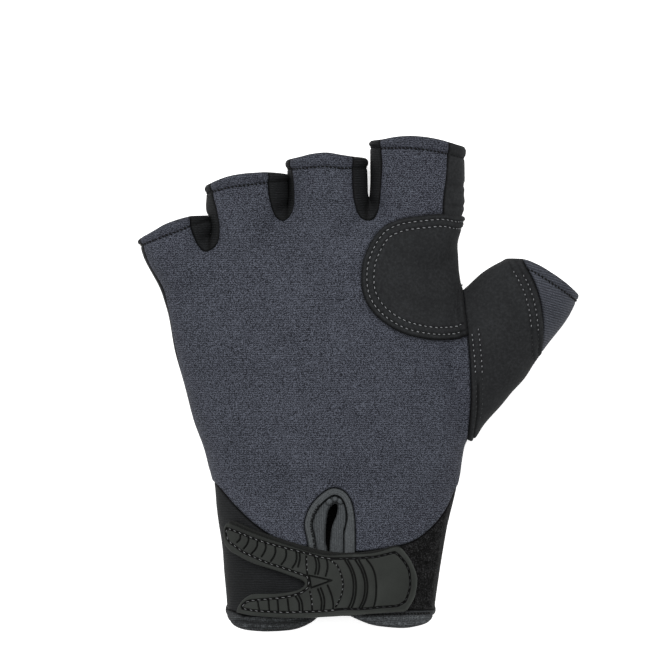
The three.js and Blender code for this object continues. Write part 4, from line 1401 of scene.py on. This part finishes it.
# Grooves of the moulded face, each a smooth line through its points
grooves = [
    [(-37.3, -49.9), (-37.4, -51.2), (-38.3, -52.3)],
    [(-35.0, -50.3), (-34.8, -51.6), (-35.4, -53.2), (-36.3, -54.4)],
    [(-32.1, -52.2), (-32.2, -53.6), (-32.9, -54.9), (-33.9, -56.0)],
    [(-29.7, -52.5), (-29.5, -54.0), (-29.9, -55.5), (-30.8, -57.0)],
    [(-26.6, -53.7), (-26.5, -55.5), (-27.0, -57.1), (-27.9, -58.5)],
    [(-23.3, -54.4), (-23.1, -56.3), (-23.5, -58.0), (-24.6, -59.6)],
    [(-20.0, -55.5), (-19.8, -57.3), (-20.2, -59.1), (-21.2, -60.7)],
    [(-19.0, -55.6), (-18.8, -57.7), (-19.4, -60.4)],
    [(-32.0, -71.2), (-31.4, -74.4)],
    [(-28.6, -71.2), (-28.3, -74.8)],
    [(-25.8, -71.2), (-25.5, -74.9)],
    [(-22.7, -70.8), (-22.2, -75.0)],
    [(-20.1, -70.1), (-19.1, -72.0), (-18.9, -75.0)],
    [(-19.1, -69.8), (-18.2, -71.9), (-17.9, -75.0)],
    [(-14.1, -57.1), (-13.6, -59.3), (-13.6, -61.0), (-14.0, -62.7)],
    [(-13.2, -57.1), (-12.7, -59.3), (-12.7, -61.0), (-13.1, -62.8)],
    [(-10.3, -57.8), (-10.0, -59.6), (-10.1, -61.4), (-10.6, -63.4)],
    [(-13.1, -67.6), (-12.3, -69.8), (-11.9, -72.0), (-12.1, -74.8)],
    [(-12.2, -67.3), (-11.3, -69.8), (-11.0, -72.0), (-11.3, -74.8)],
    [(-10.0, -66.4), (-8.8, -69.4), (-8.2, -72.3), (-8.3, -74.7)],
    [(-4.4, -58.3), (-2.9, -60.9), (-2.0, -63.7), (-1.7, -66.5), (-1.9, -69.5), (-2.6, -72.1), (-3.6, -74.2)],
    [(-3.5, -58.2), (-2.1, -60.9), (-1.2, -63.7), (-0.9, -66.5), (-1.1, -69.5), (-1.7, -72.1), (-2.6, -74.1)],
    [(-1.1, -58.2), (0.5, -60.9), (1.5, -63.7), (1.9, -66.2), (1.8, -68.8), (1.2, -71.4), (0.0, -73.9)],
    [(0.0, -58.2), (1.4, -60.9), (2.3, -63.7), (2.7, -66.2), (2.6, -68.8), (2.0, -71.4), (0.9, -73.8)],
    [(2.5, -58.0), (4.0, -60.1), (5.0, -62.7), (5.4, -65.7), (5.4, -68.8), (5.1, -71.6), (4.5, -73.7)],
]
wedge = np.array([(-15.9, -63.2), (-8.7, -64.8), (-15.2, -67.2)])  # raised arrow shape in the notch
crossRows = [  # sewn across the face, in channels of their own
    [(-16.8, -56.9), (-16.7, -60.4), (-16.4, -62.9)],
    [(-15.6, -68.4), (-15.1, -71.2), (-14.9, -74.8)],
    [(-9.2, -58.2), (-7.3, -59.6), (-6.2, -61.3), (-5.4, -63.8), (-5.0, -66.2), (-5.4, -69.0), (-6.2, -71.2),
     (-7.4, -73.3)],
]
# A painted shade lies along the top rim of the face, and a painted highlight along its right side and foot
shadedRims = [tabCurves["top"][1:7]]
litRims = [tabCurves["right"], tabCurves["foot"][:4]]  # where a painted highlight lies along the edge of the face


def makeTab(look):
    mesh = cutPiece({"seam": tab, "row": tabChannel}, [], refinements=1, nearby=1.2)
    closed = np.vstack([wedge, wedge[:1]])
    lines = {"groove": grooves, "wedge": [closed[:2], closed[1:3], closed[2:]], "cross": crossRows}
    close = least(*[lineDistance(mesh["points"][:, :2], some) for some in lines.values()])
    mesh = refined(mesh, (close[mesh["faces"]] < look["refinedTo"]).any(1))
    plan = mesh["points"][:, :2]
    width, half = look["grooveWidth"], look["channel"]
    sideEnd, channelEnd = width + look["grooveSide"], half + look["channelSide"]
    levels = seamLevels(look["roll"]) + [("row", at) for at in (-channelEnd, -half, 0, half, channelEnd)]
    for name, some in lines.items():
        inside = (mesh["row"] > half - 0.3) | (name == "wedge")
        mesh[name] = np.where(inside, lineDistance(plan, some), 9.0)
        levels += [(name, width), (name, sideEnd)]
    for name, level in levels:
        mesh = splitAt(mesh, name, level)
    row, plan = mesh["row"], mesh["points"][:, :2]
    inField = smoothStep(row, half, channelEnd)
    cut, cutWedge, cutRows = (fall(mesh[name], width, sideEnd) for name in lines)
    channel = most(fall(np.abs(row), half, channelEnd), cutRows * inField)
    groove = most(cut, cutWedge)
    crown = look["crown"] * (smoothStep(mesh["groove"], width, look["crownWidth"]) - 1)
    outer = (look["base"] + look["thick"] + rolledSeam(mesh, look["roll"])
             - look["channelDepth"] * channel + inField * (crown - look["grooveDepth"] * groove))
    # Painted shade in the grooves, the wedge and the stitch channel and along the top rim, painted highlight
    # on the lit rims
    onRim = fall(row, -half - 0.2, -half)
    paintedShading = most(look["grooveShade"] * inField * groove, look["channelShade"] * channel,
                  look["rimShade"] * onRim * fall(lineDistance(plan, shadedRims), *look["shadeOver"]))
    paintedShading -= look["rimLight"] * onRim * fall(lineDistance(plan, litRims), *look["lightOver"])
    closedPiece("strap_tab", mesh, outer, look["base"], mouldedRubber, paintedShading=paintedShading)


makeTab(tabLook)


# Rows of stitches

paleRow = {"pitch": 1.9, "length": 1.0, "radius": 0.15, "lift": 0.16, "sink": 0.06, "slant": 0.12}
dotRow = {**paleRow, "pitch": 1.75, "length": 0.7}
lowDotRow = {**dotRow, "sink": 0.12}
blackRow = {**paleRow, "pitch": 1.5, "length": 0.8, "radius": 0.18}
edgeRow = {**paleRow, "pitch": 1.0, "length": 0.95}
darkRow = {"pitch": 1.32, "length": 0.88, "radius": 0.34, "lift": 0.14, "sink": 0.0, "slant": 0.35}
tapeRow = {**darkRow, "pitch": 1.75, "length": 0.5, "radius": 0.24, "slant": 0}
strapRow = {"pitch": 2.12, "length": 1.15, "radius": 0.13, "lift": 0.24, "sink": 0.1, "slant": 0.2}
crossRow = {**strapRow, "pitch": 1.7, "length": 0.75, "radius": 0.15}
cuffEdge = [(-42.6, -75.7), (-40, -76.6), (-36.6, -77.8)]


# Lines drawn in plan and laid on a piece from above
def laidLines(name, lines):
    mesh, surface, _ = made[name]
    tree = BVHTree.FromPolygons(surface.tolist(), mesh["faces"].tolist())
    found = []
    for line in lines:
        hits = []
        for x, y in smoothLine(line, 0.4):
            place, normal, _, _ = tree.ray_cast(Vector((x, y, 200)), Vector((0, 0, -1)))
            if place is not None:
                hits.append((tuple(place), tuple(normal)))
        if len(hits) > 3:
            found.append((np.array([h[0] for h in hits]), np.array([h[1] for h in hits])))
    return found


# The parts of lines that lie between two places along an axis, 0 for X and 1 for Y
def between(lines, axis, lowest, highest=99):
    kept = []
    for line, normals in lines:
        high = (line[:, axis] > lowest) & (line[:, axis] <= highest)
        for part in np.split(np.arange(len(line)), np.flatnonzero(np.diff(high.astype(int))) + 1):
            if high[part[0]] and len(part) > 6:
                kept.append((line[part], normals[part]))
    return kept


def hemRows(*names):
    return [line for name in names for line in levelLines(name, "hemPlace", [panelLook["rowAt"]])]


patchRows = levelLines("web_patch", "patch", patchLook["rows"], made["web_patch"][0]["seam"] > 1.2)
addStitches("patch_stitches", patchRows, paleRow, paleThread, 71)

# Y where the thumb's rows turn from pale to dull thread and where they end, and X where the strap's row turns
rowTurns = {"side": 17, "foot": 3, "sideEnd": 4, "footEnd": -12, "strap": -7}
thumbMesh = made["thumb_panel"][0]
_, thumbY, thumbZ = thumbMesh["points"].T
sideRows = levelLines("thumb_panel", "thumbOuter", [-at for at in thumbLook["sideRows"]],
                      (thumbMesh["mouth"] > 5.2) & (thumbZ > 10))
footRows = levelLines("thumb_panel", "thumb", thumbLook["footRows"],
                      (thumbY < thumbLook["bandTop"] - 0.5) & (thumbZ > 12))
upperRows = between(sideRows, 1, rowTurns["side"]) + between(footRows, 1, rowTurns["foot"])
lowerRows = (between(sideRows, 1, rowTurns["sideEnd"], rowTurns["side"])
             + between(footRows, 1, rowTurns["footEnd"], rowTurns["foot"]))
addStitches("thumb_stitches", upperRows, dotRow, paleThread, 72)
addStitches("thumb_stitches_below", lowerRows, lowDotRow, dullThread, 79)
addStitches("hem_stitches_dark", hemRows("back_panel", "thumb_back"), darkRow, darkThread, 73)
addStitches("hem_stitches_black", hemRows("palm_panel", *["gusset_" + name for name in gussets]), blackRow,
            darkThread, 74)
tapeX, tapeY, _ = made["slit_binding"][0]["points"].T
addStitches("slit_stitches",
            levelLines("slit_binding", "slit", [tapeLook["stitchAt"]], (tapeX < -11.5) & (tapeY < -39.5)),
            tapeRow, darkThread, 75)
addStitches("cuff_stitches", laidLines("cuff_hem", [hemRow]), darkRow, darkThread, 76)
addStitches("cuff_edge_stitches", laidLines("cuff_hem", [cuffEdge]), edgeRow, dullThread, 82)
tabEdge = levelLines("strap_tab", "row", [0])
addStitches("strap_stitches", between(tabEdge, 0, -60, rowTurns["strap"]), strapRow, greyThread, 77)
addStitches("strap_stitches_right", between(tabEdge, 0, rowTurns["strap"]), strapRow, dullThread, 80)
addStitches("strap_cross_stitches", laidLines("strap_tab", crossRows), crossRow, greyThread, 78)


# Loop pile: small arched threads over the panel
pileLook = {
    "loops": 3400, "height": 0.22, "span": 0.5, "radius": 0.06, "sink": 0.08, "lean": 0.25,
    "fromEdge": 0.5, "leastUp": 0.45,  # how far from the panel's edge and how level the cloth has to be
}


def addPile(look):
    random = np.random.default_rng(81)
    mesh, surface, _ = made["loop_panel"]
    faces = mesh["faces"]
    a, b, c = (surface[faces[:, k]] for k in range(3))
    area = np.linalg.norm(np.cross(b - a, c - a), axis=1)
    level = mesh["normals"][faces[:, 0], 2] > look["leastUp"]
    inside = (mesh["seam"][faces].min(1) > look["fromEdge"]) & level
    chosen = random.choice(len(faces), look["loops"], p=area * inside / (area * inside).sum())
    u, v = random.uniform(size=(2, look["loops"]))
    over = u + v > 1
    u, v = np.where(over, 1 - u, u), np.where(over, 1 - v, v)
    foot = a[chosen] + u[:, None] * (b - a)[chosen] + v[:, None] * (c - a)[chosen]
    up = mesh["normals"][faces[chosen, 0]]
    turn = random.uniform(0, 2 * np.pi, look["loops"])
    stand = up + random.normal(0, look["lean"], (look["loops"], 3))
    arc = np.linspace(0, np.pi, 4)
    tubes = []
    for i in range(look["loops"]):
        aside = np.cross(up[i], (math.cos(turn[i]), math.sin(turn[i]), 0.3))
        aside /= np.linalg.norm(aside)
        rise = look["height"] * (0.7 + 0.6 * u[i]) * np.sin(arc) - look["sink"]
        centre = foot[i] - aside * (look["span"] / 2) * np.cos(arc)[:, None] + stand[i] * rise[:, None]
        out = -aside * np.cos(arc)[:, None] + stand[i] * np.sin(arc)[:, None]
        tubes.append(threadTube(centre, look["radius"], out, np.cross(aside, stand[i]), range(3)))
    addThreads("loop_pile", tubes, loopPile)


addPile(pileLook)


# Floor, lights and camera

studio = {
    "pixel": 0.33,  # millimetres, at the height of the outline
    "frame": 665,  # pixels
    "centre": (-8.415, 16.83),  # of the picture, on the glove
    "outlineHeight": 15,
    "distance": 9000,
    "sensor": 36,
    "floorHalf": 3000,
    "floorGlow": 0.6,
    "worldGlow": 0.7,
}
floorLook = {"colours": ("f4f4f4", "f6f6f6"), "roughness": 0.9, "specular": 0.1, "relief": 0.01}


def makeCamera():
    data = bpy.data.cameras.new("camera")
    data.sensor_width = studio["sensor"]
    width = studio["pixel"] * studio["frame"]
    data.lens = studio["sensor"] * (studio["distance"] - studio["outlineHeight"]) / width
    data.clip_start, data.clip_end = 0.05, 30
    camera = bpy.data.objects.new("camera", data)
    camera.location = (studio["centre"][0] * mm, studio["centre"][1] * mm, studio["distance"] * mm)
    bpy.context.scene.collection.objects.link(camera)
    bpy.context.scene.camera = camera


def makeLight(name, place, size, power):  # aimed at the origin
    data = bpy.data.lights.new(name, "AREA")
    data.shape, data.size, data.energy = "DISK", size, power
    light = bpy.data.objects.new(name, data)
    light.location = place
    light.rotation_euler = (-Vector(place)).to_track_quat("-Z", "Y").to_euler()
    bpy.context.scene.collection.objects.link(light)


def makeFloor():
    half = studio["floorHalf"]
    points = np.array([(-half, -half, 0), (half, -half, 0), (half, half, 0), (-half, half, 0)], float)
    mesh = bareMesh("floor", points, np.array([(0, 1, 2), (0, 2, 3)]))
    nodes = Nodes("pale_floor", floorLook)
    nodes.shader.inputs["Emission Color"].default_value = (1, 1, 1, 1)
    nodes.shader.inputs["Emission Strength"].default_value = studio["floorGlow"]
    mesh.materials.append(nodes.finish(nodes.noise(300, 1), nodes.noise(20, 1)))
    floor = bpy.data.objects.new("floor", mesh)
    bpy.context.scene.collection.objects.link(floor)


makeCamera()
makeFloor()
makeLight("overhead", (0.0, 0.5, 1.6), 1.4, 26)
makeLight("left", (-1.2, 0.2, 0.9), 0.8, 5)
makeLight("beyond", (0.1, 1.4, 0.6), 0.8, 4)
world = bpy.data.worlds.new("studio")
world.use_nodes = True
world.node_tree.nodes["Background"].inputs["Color"].default_value = (1, 1, 1, 1)
world.node_tree.nodes["Background"].inputs["Strength"].default_value = studio["worldGlow"]
bpy.context.scene.world = world
bpy.context.scene.view_settings.view_transform = "Standard"
faceCount = sum(len(thing.data.polygons) for thing in bpy.data.objects if thing.type == "MESH")
print("studio made,", faceCount, "faces in all")
